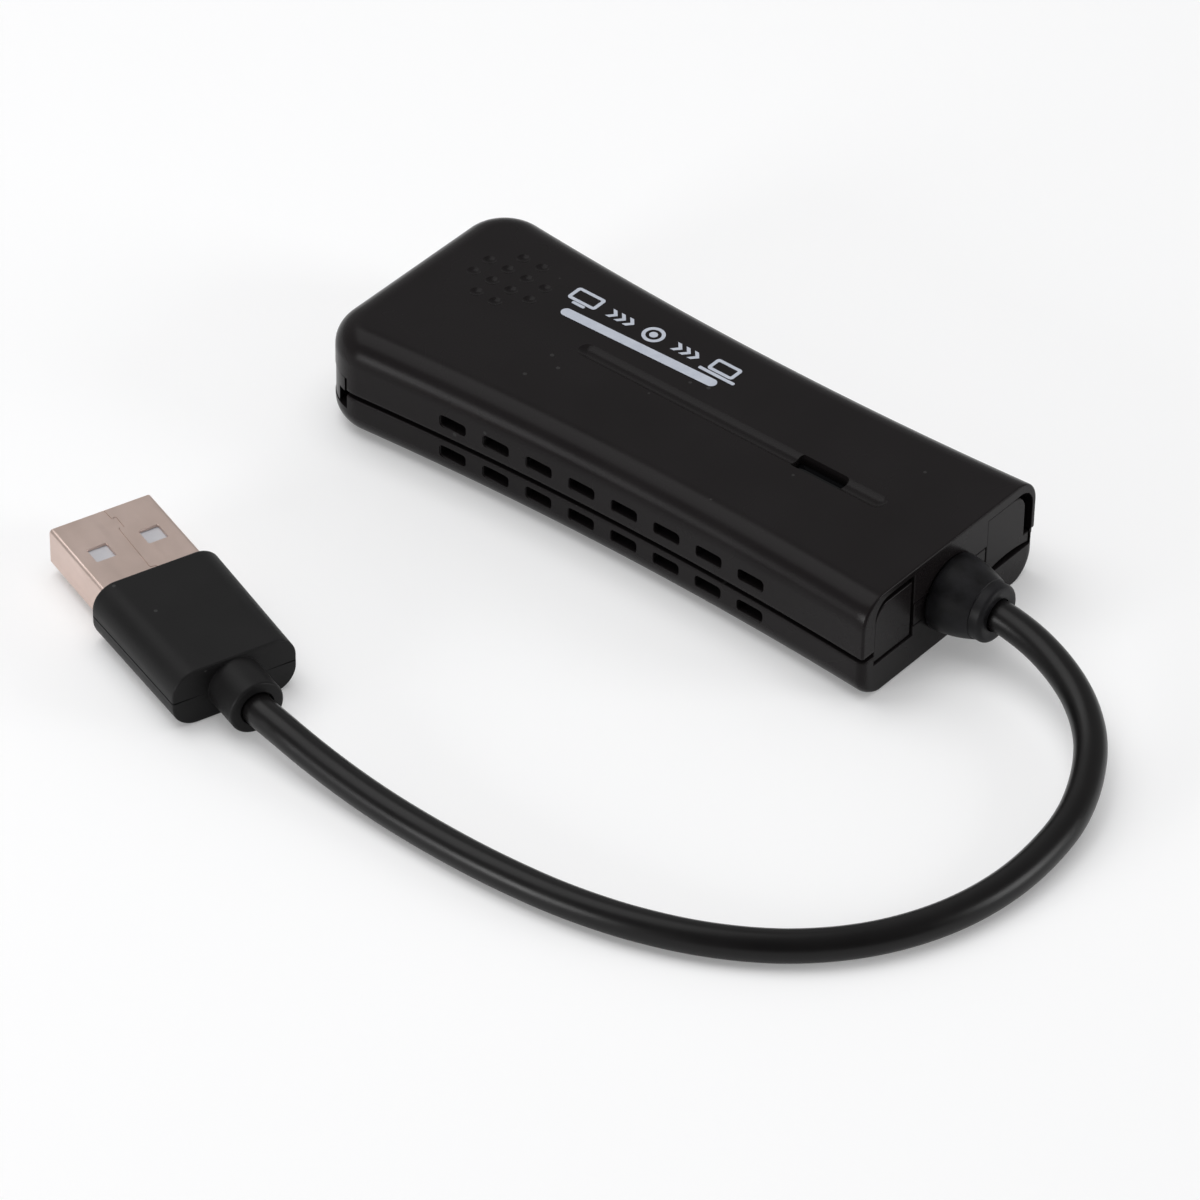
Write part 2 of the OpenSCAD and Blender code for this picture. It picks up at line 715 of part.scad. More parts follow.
module memory_chip() {
    color(chip_black) on_board([memory_chip_x, pair_y], memory_chip_size, chip_standoff);
}

module memory_chip_leads() {
    half = memory_chip_size[1] / 2;
    color(metal) translate([memory_chip_x, pair_y, board_top]) for (turn = [0, 180])
        rotate([0, 0, turn]) lead_row(memory_leads_a_side, memory_lead_pitch, half, memory_chip_size[2]);
}

module crystal() {
    color(metal) on_board([memory_chip_x, -pair_y], crystal_size);
}

module regulators() {
    color(chip_black) for (side = [-1, 1])
        on_board([input_chip_x, side * regulator_y], regulator_size);
}

module power_inductor() {
    color(part_grey) on_board([inductor_x, -pair_y], inductor_size);
}

module bulk_capacitor() {
    color(metal) translate([inductor_x, pair_y, board_top]) cylinder(d = can_d, h = can_h);
}

module ceramic_capacitors() {
    last = chip_cap_n - 1;
    color(ceramic_tan) for (i = [0:last], side = [-1, 1])
        on_board([capture_chip_x + (i - last / 2) * chip_cap_pitch, side * chip_cap_y], chip_cap_size);
}

module resistors() {
    last = resistor_n - 1;
    color(chip_black) for (i = [0:last])
        on_board([resistor_x, (i - last / 2) * resistor_pitch], resistor_size);
}

module status_led() {
    color([0.9, 0.9, 0.8]) on_board([slot_x, 0], [led_l, led_w, led_h]);
}

module solder_joints() {
    color(metal) for (wire = WIRES) translate([wire[1][0], wire[1][1], board_top])
        cylinder(d1 = pad_d, d2 = pad_d / 2, h = pad_h);
}

// Conductor from the cord's inner end to its place on the board
module conductor(i, d) {
    lift = board_top + d / 2 + wire_clear;
    start = [inner_end_x, WIRES[i][0][0], boot_z + WIRES[i][0][1]];
    end = [WIRES[i][1][0] + pad_d / 2, WIRES[i][1][1], lift];
    middle = (start + end) / 2 + [0, 0, wire_arch];
    path = [start, start - [wire_exit_l, 0, 0], middle, end + [wire_run_l, 0, wire_settle], end];
    tube(path, d / 2, wire_sides, [-1, 0, 0], [-1, 0, 0]);
}

module supply_wire() {
    color("red") conductor(0, wire_d);
}

module data_minus_wire() {
    color("white") conductor(1, wire_d);
}

module data_plus_wire() {
    color("green") conductor(2, wire_d);
}

module ground_wire() {
    color(chip_black) conductor(3, wire_d);
}

module shield_drain_wire() {
    color(metal) conductor(4, drain_d);
}

module cord_inner_end() {
    color(rubber_black) translate([inner_end_x, 0, boot_z]) rotate([0, 90, 0])
        cylinder(d = cord_d, h = wall_back_x - boot_flange_t - inner_end_x);
}

// Moulded boot: an inner flange, a neck in the end wall, a swelling taper and an end collar
module strain_relief() {
    taper_l = boot_l - boot_collar_l - boot_fit;
    taper_tip = boot_tip_d / 2 + boot_step;
    taper = [for (i = [0:boot_steps])
        let (t = i / boot_steps)
        [boot_base_d / 2 - (boot_base_d / 2 - taper_tip) * pow(t, boot_curve), boot_fit + taper_l * t]];
    color(rubber_black) translate([near_x, 0, boot_z]) rotate([0, 90, 0]) rotate_extrude()
        polygon(concat([[0, -end_wall - boot_flange_t], [boot_flange_d / 2, -end_wall - boot_flange_t],
            [boot_flange_d / 2, -end_wall], [boot_neck_d / 2, -end_wall], [boot_neck_d / 2, boot_fit]],
            taper, [[boot_tip_d / 2, boot_l - boot_collar_l], [boot_tip_d / 2, boot_l], [0, boot_l]]));
}

module cord() {
    tip = [boot_tip_x, 0, 0];
    plug_dir = [cos(plug_yaw), sin(plug_yaw), 0];
    start = tip + [0, 0, boot_z];
    end = tip + [CORD_END[0], CORD_END[1], plug_z];
    path = concat([start], [for (p = CORD_ROUTE) tip + p], [end]);
    color(rubber_black) tube(path, cord_d / 2, cord_sides, [1, 0, 0], -plug_dir);
}

// Thin slice of the grip's rounded section, smaller all round by ease
module grip_slice(from, w, ease = 0) {
    along_x(from, from + slice_t) round_rect(w - 2 * ease, grip_h - 2 * ease, grip_edge_r - ease);
}

// Moulded grip: a bar that narrows toward the neck, with a pocket for the metal shell
module plug_grip() {
    rear = plug_out_l + grip_l;
    front_y = grip_front_w / 2 - parting_depth;
    rear_y = grip_rear_w / 2 - parting_depth;
    color(rubber_black) at_plug() difference() {
        union() {
            hull() {
                grip_slice(plug_out_l, grip_front_w, grip_ease);
                grip_slice(plug_out_l + grip_ease, grip_front_w);
                grip_slice(rear - slice_t, grip_rear_w);
            }
            translate([rear - over, 0, 0]) rotate([0, 90, 0]) cylinder(d = neck_d, h = neck_l + over);
        }
        along_x(plug_out_l - over, plug_out_l + plug_in_l) round_rect(plug_w, plug_h, plug_r);
        for (side = [-1, 1]) linear_extrude(parting_w, center = true)
            polygon([[plug_out_l - over, side * front_y], [rear + over, side * rear_y],
                [rear + over, side * grip_front_w], [plug_out_l - over, side * grip_front_w]]);
    }
}

module plug_shell() {
    length = plug_out_l + plug_in_l;
    color(metal) at_plug() difference() {
        along_x(0, length) round_rect(plug_w, plug_h, plug_r);
        along_x(-over, length + over) round_rect(plug_w - 2 * plug_t, plug_h - 2 * plug_t, plug_r - plug_t);
        for (side = [-1, 1])
            translate([plug_window_at, side * plug_window_pitch / 2 - plug_window / 2, -plug_h])
                cube([plug_window, plug_window, 2 * plug_h]);
    }
}

// Insulator on the seam side of the plug's shell
module plug_tongue() {
    length = plug_out_l + plug_in_l;
    half = plug_w / 2 - plug_t - plug_fit;
    top = plug_h / 2 - plug_t - plug_fit;
    color([0.88, 0.9, 0.94]) at_plug()
        span([plug_tongue_set, -half + plug_r, top - plug_tongue_t], [length, half - plug_r, top]);
}

module plug_contacts() {
    z = plug_h / 2 - plug_t - plug_fit - plug_tongue_t - plug_contact_t;
    last = plug_contact_n - 1;
    color(gold) at_plug() for (i = [0:last])
        translate([2 * plug_tongue_set, (i - last / 2) * plug_contact_pitch - plug_contact_w / 2, z])
            cube([plug_contact_l, plug_contact_w, plug_contact_t]);
}

top_shell();
bottom_shell();
left_end_panel();
right_end_panel();
port_panel();
light_pipe();
main_board();
video_socket_shell();
video_socket_tongue();
video_socket_contacts();
input_chip();
capture_chip();
capture_chip_leads();
memory_chip();
memory_chip_leads();
crystal();
regulators();
power_inductor();
bulk_capacitor();
ceramic_capacitors();
resistors();
status_led();
solder_joints();
supply_wire();
data_minus_wire();
data_plus_wire();
ground_wire();
shield_drain_wire();
cord_inner_end();
strain_relief();
cord();
plug_grip();
plug_shell();
plug_tongue();
plug_contacts();
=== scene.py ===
"""Looks of the video capture box: moulded shells, printed marks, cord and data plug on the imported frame."""

import json
import logging
import math
from abc import ABC, abstractmethod
from dataclasses import dataclass
from enum import Enum
from typing import Callable, ClassVar, Sequence

import bmesh
import bpy
import numpy as np
from bpy.types import Material, Node, NodeSocket, NodeTree, Object
from mathutils import Matrix, Vector


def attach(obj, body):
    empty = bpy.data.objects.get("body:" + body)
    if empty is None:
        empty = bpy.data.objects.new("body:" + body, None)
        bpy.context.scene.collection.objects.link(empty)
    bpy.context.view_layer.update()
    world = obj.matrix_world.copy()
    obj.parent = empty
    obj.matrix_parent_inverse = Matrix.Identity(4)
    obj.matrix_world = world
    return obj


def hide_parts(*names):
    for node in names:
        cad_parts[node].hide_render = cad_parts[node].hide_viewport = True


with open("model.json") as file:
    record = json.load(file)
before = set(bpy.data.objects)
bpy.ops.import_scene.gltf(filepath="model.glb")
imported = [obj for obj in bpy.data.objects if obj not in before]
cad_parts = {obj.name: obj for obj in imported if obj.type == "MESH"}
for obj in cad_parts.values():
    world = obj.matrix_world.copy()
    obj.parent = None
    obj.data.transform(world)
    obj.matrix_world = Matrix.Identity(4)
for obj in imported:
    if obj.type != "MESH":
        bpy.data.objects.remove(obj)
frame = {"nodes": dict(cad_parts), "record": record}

MM = 0.001
BODY = "root"
QUARTER = math.pi / 2
# How far a carving tool reaches past what it cuts, in millimetres
OVER = 1.0
# Points closer than this, in metres, become one
MERGE = 1e-7
# Where most values of a noise texture lie
NOISE_RANGE = (0.3, 0.7)
PLUG_YAW = math.radians(-19)

Pair = tuple[float, float]
Triple = tuple[float, float, float]
Values = np.ndarray | float
Inputs = dict[str | int, object]
log = logging.getLogger("capture_box")


class Axis(Enum):
    """Axis that a flat profile is carried along, with the places of (along, first, second) in a point."""

    X = (0, 1, 2)
    Y = (1, 0, 2)
    Z = (2, 0, 1)

    def place(self, along: Values, flat: np.ndarray) -> np.ndarray:
        """Points from distances along the axis and flat coordinates across it.

        Args:
            along: distances along the axis, for each point or for each row of points.
            flat: two coordinates across the axis for each point.

        Returns:
            Array of points with a last dimension of three.
        """
        points = np.empty(flat.shape[:-1] + (3,))
        points[..., self.value[0]] = along
        points[..., list(self.value[1:])] = flat
        return points


class Carving(Enum):
    """Ways in which one solid acts on another."""

    CUT = "DIFFERENCE"
    ADD = "UNION"
    KEEP = "INTERSECT"


@dataclass
class Surface:
    """Points in millimetres and the faces between them."""

    points: np.ndarray
    faces: list[list[int]]

    @staticmethod
    def joined(surfaces: Sequence["Surface"]) -> "Surface":
        """One surface from several.

        Args:
            surfaces: the surfaces to put together.

        Returns:
            A surface with all points and faces, the faces renumbered.
        """
        starts = np.cumsum([0] + [len(s.points) for s in surfaces])
        faces = [[start + i for i in face] for s, start in zip(surfaces, starts) for face in s.faces]
        return Surface(np.concatenate([s.points for s in surfaces]), faces)


def ring_faces(rows: int, cols: int, closed_rows: bool = False) -> list[list[int]]:
    """Quads of a grid whose columns close into rings.

    Args:
        rows: number of rings.
        cols: points in each ring.
        closed_rows: True where the last ring joins the first.

    Returns:
        Lists of four point numbers.
    """
    i = np.arange(rows if closed_rows else rows - 1)[:, None]
    j = np.arange(cols)[None, :]
    below, beside = (i + 1) % rows, (j + 1) % cols
    quads = [i * cols + j, i * cols + beside, below * cols + beside, below * cols + j]
    return np.stack(quads, axis=-1).reshape(-1, 4).tolist()


def loft(rings: np.ndarray, closed_rows: bool = False) -> Surface:
    """Skin over a pile of rings, with a flat face at each end unless the pile closes on itself.

    Args:
        rings: array of rings by points by three.
        closed_rows: True where the last ring joins the first.

    Returns:
        The closed surface.
    """
    rows, cols = rings.shape[:2]
    faces = ring_faces(rows, cols, closed_rows)
    if not closed_rows:
        last = (rows - 1) * cols
        faces += [list(range(cols))[::-1], list(range(last, last + cols))]
    return Surface(rings.reshape(-1, 3), faces)


def arc(x: Values, y: Values, r: Values, turn: np.ndarray) -> np.ndarray:
    """Points on circles about (x, y): x + r cos t and y + r sin t for each angle t."""
    return np.stack(np.broadcast_arrays(x + r * np.cos(turn), y + r * np.sin(turn)), axis=-1)


def whole_turn(steps: int) -> np.ndarray:
    """Angles evenly round a turn."""
    return np.linspace(0, 2 * np.pi, steps, endpoint=False)


def rectangle(x: Pair, y: Pair) -> np.ndarray:
    """Anticlockwise corners of a rectangle between two places along each axis."""
    return np.array([[x[0], y[0]], [x[1], y[0]], [x[1], y[1]], [x[0], y[1]]])


def facing(outline: np.ndarray, side: int) -> np.ndarray:
    """An outline as it is for side 1, or mirrored and still anticlockwise for side -1."""
    return outline if side > 0 else (outline * [-1, 1])[::-1]


def rounded_loop(half_w: Values, half_h: Values, radius: Values, steps: int) -> np.ndarray:
    """Rectangles with round corners, anticlockwise: four quarter circles about the corners' centres.

    Args:
        half_w: half widths, one for each loop or a single number.
        half_h: half heights.
        radius: radii of the corners.
        steps: points on each corner.

    Returns:
        Array of loops by points by two, or points by two for single numbers.
    """
    half_w, half_h, radius = (np.asarray(v, dtype=float)[..., None] for v in (half_w, half_h, radius))
    angle = (np.linspace(0, QUARTER, steps) + QUARTER * np.arange(4)[:, None]).ravel()
    right = np.repeat([1, -1, -1, 1], steps)
    up = np.repeat([1, 1, -1, -1], steps)
    return arc(right * (half_w - radius), up * (half_h - radius), radius, angle)


def carried(profile: np.ndarray, axis: Axis, levels: Sequence[float], spreads: Sequence[float] = (0,)) -> Surface:
    """A flat profile carried along an axis, each corner moved out along its mitre by the spread at each level.

    Args:
        profile: anticlockwise points by two.
        axis: axis that it is carried along.
        levels: places along the axis.
        spreads: how far the profile is pushed out at each level, or one distance for all.

    Returns:
        The closed surface.
    """
    edge = np.roll(profile, -1, axis=0) - profile
    normal = np.stack([edge[:, 1], -edge[:, 0]], axis=-1) / np.linalg.norm(edge, axis=1, keepdims=True)
    before = np.roll(normal, 1, axis=0)
    mitre = (normal + before) / (1 + np.sum(normal * before, axis=1, keepdims=True))
    push = np.broadcast_to(np.asarray(spreads, dtype=float), len(levels))
    loops = profile + push[:, None, None] * mitre
    return loft(axis.place(np.asarray(levels, dtype=float)[:, None], loops))


def revolved(profile: np.ndarray, centre: Triple, axis: Axis, steps: int) -> Surface:
    """A profile of (place along, radius) turned about an axis through a point.

    Args:
        profile: points by two.
        centre: point on the axis.
        axis: the axis.
        steps: points round a turn.

    Returns:
        The closed surface.
    """
    flat = arc(0, 0, profile[:, 1, None], whole_turn(steps))
    return loft(axis.place(profile[:, 0, None], flat) + np.asarray(centre, dtype=float))


def quarter(radius: float, steps: int) -> tuple[np.ndarray, np.ndarray]:
    """Depth and set-in of a round edge: r(1 - cos t) and r(1 - sin t) for t from 0 to a quarter turn."""
    t = np.linspace(0, QUARTER, steps)
    return radius * (1 - np.cos(t)), radius * (1 - np.sin(t))


def smooth_path(points: np.ndarray, per_span: int, ends: np.ndarray) -> np.ndarray:
    """Cubic Hermite curve through points, with chord length as its parameter.

    Args:
        points: points by three.
        per_span: samples between two points.
        ends: directions at the first and last point.

    Returns:
        Points along the curve.
    """
    chord = np.concatenate([[0], np.cumsum(np.linalg.norm(np.diff(points, axis=0), axis=1))])
    tangent = np.gradient(points, chord, axis=0)
    tangent[[0, -1]] = ends
    s = np.linspace(0, 1, per_span, endpoint=False)[None, :, None]
    span = np.diff(chord)[:, None, None]
    p, q = points[:-1, None], points[1:, None]
    m, n = tangent[:-1, None] * span, tangent[1:, None] * span
    curve = ((2 * s**3 - 3 * s**2 + 1) * p + (s**3 - 2 * s**2 + s) * m
             + (3 * s**2 - 2 * s**3) * q + (s**3 - s**2) * n)
    return np.concatenate([curve.reshape(-1, 3), points[-1:]])


def stroke_outline(points: np.ndarray, half_w: float, ease: float, most: float = 0.45, steps: int = 6) -> np.ndarray:
    """Flat stroke along straight runs: corners replaced by parabolas, then the path moved aside along its normals.

    Args:
        points: ends and corners of the path, points by two.
        half_w: half the stroke's width.
        ease: distance from a corner at which its bend starts.
        most: largest share of a run that a bend takes.
        steps: points on each bend.

    Returns:
        Anticlockwise outline, points by two.
    """
    run = np.diff(points, axis=0)
    length = np.linalg.norm(run, axis=1, keepdims=True)
    reach = run * np.minimum(ease, most * length) / length
    corner = points[1:-1, None]
    before, after = corner - reach[:-1, None], corner + reach[1:, None]
    s = np.linspace(0, 1, steps)[None, :, None]
    bend = (1 - s) ** 2 * before + 2 * s * (1 - s) * corner + s**2 * after
    path = np.concatenate([points[:1], bend.reshape(-1, 2), points[-1:]])
    along = np.gradient(path, axis=0)
    along /= np.linalg.norm(along, axis=1, keepdims=True)
    side = half_w * np.stack([along[:, 1], -along[:, 0]], axis=-1)
    return np.concatenate([path + side, (path - side)[::-1]])


@dataclass(frozen=True)
class Flare:
    """Tool whose outline changes near a face: depths under the face, and how much wider it is at each."""

    depths: tuple[float, ...]
    spreads: tuple[float, ...]

    def tool(self, outline: np.ndarray, axis: Axis, face: float, side: int = 1) -> Surface:
        """Solid of the outline along an axis that points out of the face for side 1 and into it for side -1."""
        return carried(outline, axis, face - side * np.array(self.depths), self.spreads)


def new_piece(name: str, surface: Surface) -> Object:
    """A mesh object in metres at the origin, with doubles merged and faces pointing outward.

    Args:
        name: name of the piece.
        surface: its surface in millimetres.

    Returns:
        The object, linked to the scene.
    """
    mesh = bpy.data.meshes.new(name)
    mesh.from_pydata((surface.points * MM).tolist(), [], surface.faces)
    work = bmesh.new()
    work.from_mesh(mesh)
    bmesh.ops.remove_doubles(work, verts=work.verts, dist=MERGE)
    bmesh.ops.recalc_face_normals(work, faces=work.faces)
    work.to_mesh(mesh)
    work.free()
    piece = bpy.data.objects.new(name, mesh)
    bpy.context.scene.collection.objects.link(piece)
    return piece


def carve(piece: Object, tools: Sequence[Surface], way: Carving = Carving.CUT) -> None:
    """Cuts solids out of a piece, adds them to it or keeps what they share, and stores the result as its mesh.

    Args:
        piece: the piece to work on.
        tools: solids that don't touch each other.
        way: cut, add, or keep what both share.
    """
    tool = new_piece("carving_tool", Surface.joined(tools))
    change = piece.modifiers.new("carving", "BOOLEAN")
    change.operation = way.value
    change.solver = "EXACT"
    change.object = tool
    bpy.context.view_layer.update()
    made = bpy.data.meshes.new_from_object(piece.evaluated_get(bpy.context.evaluated_depsgraph_get()))
    if not made.polygons:
        raise ValueError(f"carving left nothing of {piece.name}")
    piece.modifiers.clear()
    old, tool_mesh = piece.data, tool.data
    piece.data = made
    made.name = piece.name
    bpy.data.objects.remove(tool)
    bpy.data.meshes.remove(old)
    bpy.data.meshes.remove(tool_mesh)


def shade(piece: Object, sharp: float = 32.0) -> None:
    """Smooth shading with sharp creases, and normals that follow the larger faces.

    Args:
        piece: the piece.
        sharp: angle in degrees above which an edge is a crease.
    """
    piece.data.shade_smooth()
    piece.data.set_sharp_from_angle(angle=math.radians(sharp))
    piece.modifiers.new("even_normals", "WEIGHTED_NORMAL").keep_sharp = True


def feed(tree: NodeTree, node: Node, inputs: Inputs) -> Node:
    """Fills a node's inputs.

    Args:
        tree: tree that the node is in.
        node: the node.
        inputs: for each input a value, or the socket that it takes its value from.

    Returns:
        The same node.
    """
    for key, value in inputs.items():
        if isinstance(value, NodeSocket):
            tree.links.new(value, node.inputs[key])
        else:
            node.inputs[key].default_value = value
    return node


def add(tree: NodeTree, kind: str, inputs: Inputs, **settings: object) -> Node:
    """Places a shader node and fills its inputs.

    Args:
        tree: tree that it goes in.
        kind: its type, without the ShaderNode before it.
        inputs: values or sockets for its inputs.
        settings: properties of the node, set before its inputs.

    Returns:
        The node.
    """
    node = tree.nodes.new("ShaderNode" + kind)
    for name, value in settings.items():
        setattr(node, name, value)
    return feed(tree, node, inputs)


class Maths(Enum):
    """Operations on two values in a shader."""

    LESS = "LESS_THAN"
    MORE = "GREATER_THAN"
    TIMES = "MULTIPLY"
    MOST = "MAXIMUM"

    def of(self, tree: NodeTree, first: NodeSocket, second: NodeSocket | float) -> NodeSocket:
        """Result of the operation on two values."""
        return add(tree, "Math", {0: first, 1: second}, operation=self.value).outputs[0]


def blend(tree: NodeTree, amount: NodeSocket, low: Triple | NodeSocket, high: Triple) -> NodeSocket:
    """Colour between two tones.

    Args:
        tree: the material's tree.
        amount: where 0 gives the low tone and 1 the high one.
        low: a colour, or a socket that gives one.
        high: a colour.

    Returns:
        The socket with the mixed colour.
    """
    start = low if isinstance(low, NodeSocket) else (*low, 1)
    inputs = {"Factor": amount, "A": start, "B": (*high, 1)}
    return add(tree, "Mix", inputs, data_type="RGBA").outputs["Result"]


def ranged(tree: NodeTree, value: NodeSocket, low: float, high: float, source: Pair = NOISE_RANGE) -> NodeSocket:
    """A value spread over a range.

    Args:
        tree: the tree.
        value: the value, such as a noise.
        low: result at the lower end of its own range.
        high: result at the upper end.
        source: the value's own range.

    Returns:
        The socket with the result.
    """
    ends = {"From Min": source[0], "From Max": source[1], "To Min": low, "To Max": high}
    return add(tree, "MapRange", {"Value": value, **ends}).outputs["Result"]


def relief(tree: NodeTree, height: NodeSocket, depth: float) -> NodeSocket:
    """Normals of a fine relief whose depth is in millimetres."""
    return add(tree, "Bump", {"Strength": 1.0, "Distance": depth * MM, "Height": height}).outputs["Normal"]


def new_material(name: str) -> tuple[Material, NodeTree, Node]:
    """A new material, its tree and its shader.

    Args:
        name: name of the material.

    Returns:
        The three of them.
    """
    material = bpy.data.materials.new(name)
    material.use_nodes = True
    return material, material.node_tree, material.node_tree.nodes["Principled BSDF"]


class Effect:
    """Shader node groups that several finishes share, each made once."""

    made: ClassVar[dict[str, NodeTree]] = {}

    @classmethod
    def placed(cls, tree: NodeTree, maker: Callable[[], NodeTree], inputs: Inputs) -> Node:
        """Places a shared group in a material.

        Args:
            tree: the material's tree.
            maker: method that makes the group.
            inputs: values for its inputs.

        Returns:
            The group's node.
        """
        if maker.__name__ not in cls.made:
            cls.made[maker.__name__] = maker()
        return add(tree, "Group", inputs, node_tree=cls.made[maker.__name__])

    @staticmethod
    def begin(name: str, inputs: dict[str, float], outputs: Sequence[str]) -> tuple[NodeTree, NodeSocket]:
        """A new group with number sockets.

        Args:
            name: name of the group.
            inputs: names and defaults of its inputs.
            outputs: names of its outputs.

        Returns:
            The group's tree, and a socket with the place on the object.
        """
        tree = bpy.data.node_groups.new(name, "ShaderNodeTree")
        for label, value in inputs.items():
            tree.interface.new_socket(label, in_out="INPUT", socket_type="NodeSocketFloat").default_value = value
        for label in outputs:
            tree.interface.new_socket(label, in_out="OUTPUT", socket_type="NodeSocketFloat")
        tree.nodes.new("NodeGroupInput").name = "in"
        tree.nodes.new("NodeGroupOutput").name = "out"
        return tree, add(tree, "TexCoord", {}).outputs["Object"]

    @staticmethod
    def noise(tree: NodeTree, label: str, place: NodeSocket, detail: float) -> None:
        """Puts a noise on one output of a group, at the scale that the group is given for it.

        Args:
            tree: the group's tree.
            label: name of the output.
            place: where the noise is read.
            detail: how many finer layers the noise has.
        """
        scale = tree.nodes["in"].outputs[f"{label} Scale"]
        noise = add(tree, "TexNoise", {"Vector": place, "Scale": scale, "Detail": detail})
        feed(tree, tree.nodes["out"], {label: noise.outputs["Fac"]})

    @classmethod
    def grain(cls) -> NodeTree:
        """Moulded surface: a fine grain, and broad uneven patches from two sizes of noise.

        Returns:
            The group's tree.
        """
        tree, place = cls.begin("moulded_grain", {"Grain Scale": 6000, "Patch Scale": 120}, ["Grain", "Patch"])
        cls.noise(tree, "Grain", place, detail=2.0)
        cls.noise(tree, "Patch", place, detail=4.0)
        return tree

    @classmethod
    def dust(cls) -> NodeTree:
        """Sparse specks: the middles of random cells, kept where the cell's own number is high.

        Returns:
            The group's tree.
        """
        tree, place = cls.begin("dust_specks", {"Scale": 500, "Size": 0.12, "Sparse": 0.9}, ["Speck"])
        given = tree.nodes["in"].outputs
        cells = add(tree, "TexVoronoi", {"Vector": place, "Scale": given["Scale"]}).outputs
        number = add(tree, "SeparateColor", {"Color": cells["Color"]}).outputs["Red"]
        near = Maths.LESS.of(tree, cells["Distance"], given["Size"])
        rare = Maths.MORE.of(tree, number, given["Sparse"])
        feed(tree, tree.nodes["out"], {"Speck": Maths.TIMES.of(tree, near, rare)})
        return tree

    @classmethod
    def streaks(cls) -> NodeTree:
        """Rolled sheet: noise drawn out along the plug, and broad faint stains.

        Returns:
            The group's tree.
        """
        tree, place = cls.begin("rolled_streaks", {"Streak Scale": 900, "Stain Scale": 260}, ["Streak", "Stain"])
        turn = add(tree, "Mapping", {"Vector": place, "Rotation": (0, 0, -PLUG_YAW)}).outputs["Vector"]
        drawn = add(tree, "Mapping", {"Vector": turn, "Scale": (0.12, 1, 1)}).outputs["Vector"]
        cls.noise(tree, "Streak", drawn, detail=5.0)
        cls.noise(tree, "Stain", turn, detail=5.0)
        return tree


@dataclass(frozen=True)
class Finish(ABC):
    """What every finish has: a name, two tones and a range of roughness. Its material is made once."""

    name: str
    tone: Triple
    other_tone: Triple
    gloss: Pair
    made: ClassVar[dict[str, Material]] = {}

    @abstractmethod
    def material(self) -> Material:
        """Builds the material."""

    def dress(self, piece: Object) -> None:
        """Puts the finish on a new piece or on a solid's own object.

        Args:
            piece: the object.
        """
        if self.name not in self.made:
            self.made[self.name] = self.material()
        slots = piece.data.materials
        if len(slots) == 0:
            slots.append(self.made[self.name])
        for i in range(len(slots)):
            slots[i] = self.made[self.name]


@dataclass(frozen=True)
class MouldedFinish(Finish):
    """Moulded plastic or rubber: two close tones, grain, uneven gloss and a few specks of dust."""

    specular: float = 0.5
    grain_scale: float = 6000
    grain_depth: float = 0.002
    patch_scale: float = 120
    dust: Triple | None = None

    def material(self) -> Material:
        """Builds the material.

        Returns:
            The material.
        """
        material, tree, shader = new_material(self.name)
        scales = {"Grain Scale": self.grain_scale, "Patch Scale": self.patch_scale}
        grain = Effect.placed(tree, Effect.grain, scales).outputs
        colour = blend(tree, ranged(tree, grain["Patch"], 0, 1), self.tone, self.other_tone)
        if self.dust:
            specks = Effect.placed(tree, Effect.dust, {})
            colour = blend(tree, specks.outputs["Speck"], colour, self.dust)
        feed(tree, shader, {
            "Base Color": colour,
            "Roughness": ranged(tree, grain["Patch"], *self.gloss),
            "Specular IOR Level": self.specular,
            "Normal": relief(tree, grain["Grain"], self.grain_depth)})
        return material


@dataclass(frozen=True)
class SheetFinish(Finish):
    """Plated sheet metal: streaks from rolling, faint stains and uneven gloss."""

    streak_scale: float = 900
    streak_depth: float = 0.001

    def material(self) -> Material:
        """Builds the material.

        Returns:
            The material.
        """
        material, tree, shader = new_material(self.name)
        lines = Effect.placed(tree, Effect.streaks, {"Streak Scale": self.streak_scale}).outputs
        feed(tree, shader, {
            "Base Color": blend(tree, ranged(tree, lines["Stain"], 0, 1), self.tone, self.other_tone),
            "Roughness": ranged(tree, lines["Streak"], *self.gloss),
            "Metallic": 1.0,
            "Normal": relief(tree, lines["Streak"], self.streak_depth)})
        return material


CASING = MouldedFinish(
    "casing_black_plastic", (0.0089, 0.0075, 0.0078), (0.0107, 0.0092, 0.0096), (0.24, 0.29), specular=0.1,
    grain_scale=5200, grain_depth=0.0012, patch_scale=90, dust=(0.028, 0.027, 0.027))
RUBBER = MouldedFinish(
    "cord_black_rubber", (0.0036, 0.0032, 0.0033), (0.005, 0.0045, 0.0047), (0.29, 0.36), specular=0.24,
    grain_scale=4200, grain_depth=0.004, patch_scale=200)
BOOT = MouldedFinish(
    "boot_scuffed_rubber", (0.0044, 0.0042, 0.0045), (0.012, 0.0117, 0.0134), (0.4, 0.54), specular=0.16,
    grain_scale=3800, grain_depth=0.008, patch_scale=650, dust=(0.035, 0.035, 0.038))
GRIP = MouldedFinish(
    "grip_black_rubber", (0.0062, 0.006, 0.0062), (0.009, 0.0087, 0.009), (0.42, 0.52), specular=0.16,
    grain_scale=3600, grain_depth=0.006, patch_scale=160, dust=(0.03, 0.03, 0.03))
INK = MouldedFinish(
    "pale_grey_ink", (0.43, 0.46, 0.53), (0.49, 0.52, 0.585), (0.45, 0.6), specular=0.3,
    grain_scale=5200, patch_scale=700)
# Smoked plastic of the light pipe. Its tones are also darkened below that colour as painted shade of the slot it sits
# in.
SMOKED_PIPE_WITH_PAINTED_SHADE = MouldedFinish(
    "smoked_light_pipe_painted_shade", (0.002, 0.002, 0.0024), (0.003, 0.003, 0.0036), (0.06, 0.1), specular=0.16,
    grain_scale=3000, grain_depth=0.0003)
INSULATOR = MouldedFinish(
    "plug_white_insulator", (0.46, 0.455, 0.48), (0.52, 0.515, 0.54), (0.3, 0.42), specular=0.4,
    grain_scale=2600, grain_depth=0.001, patch_scale=400)
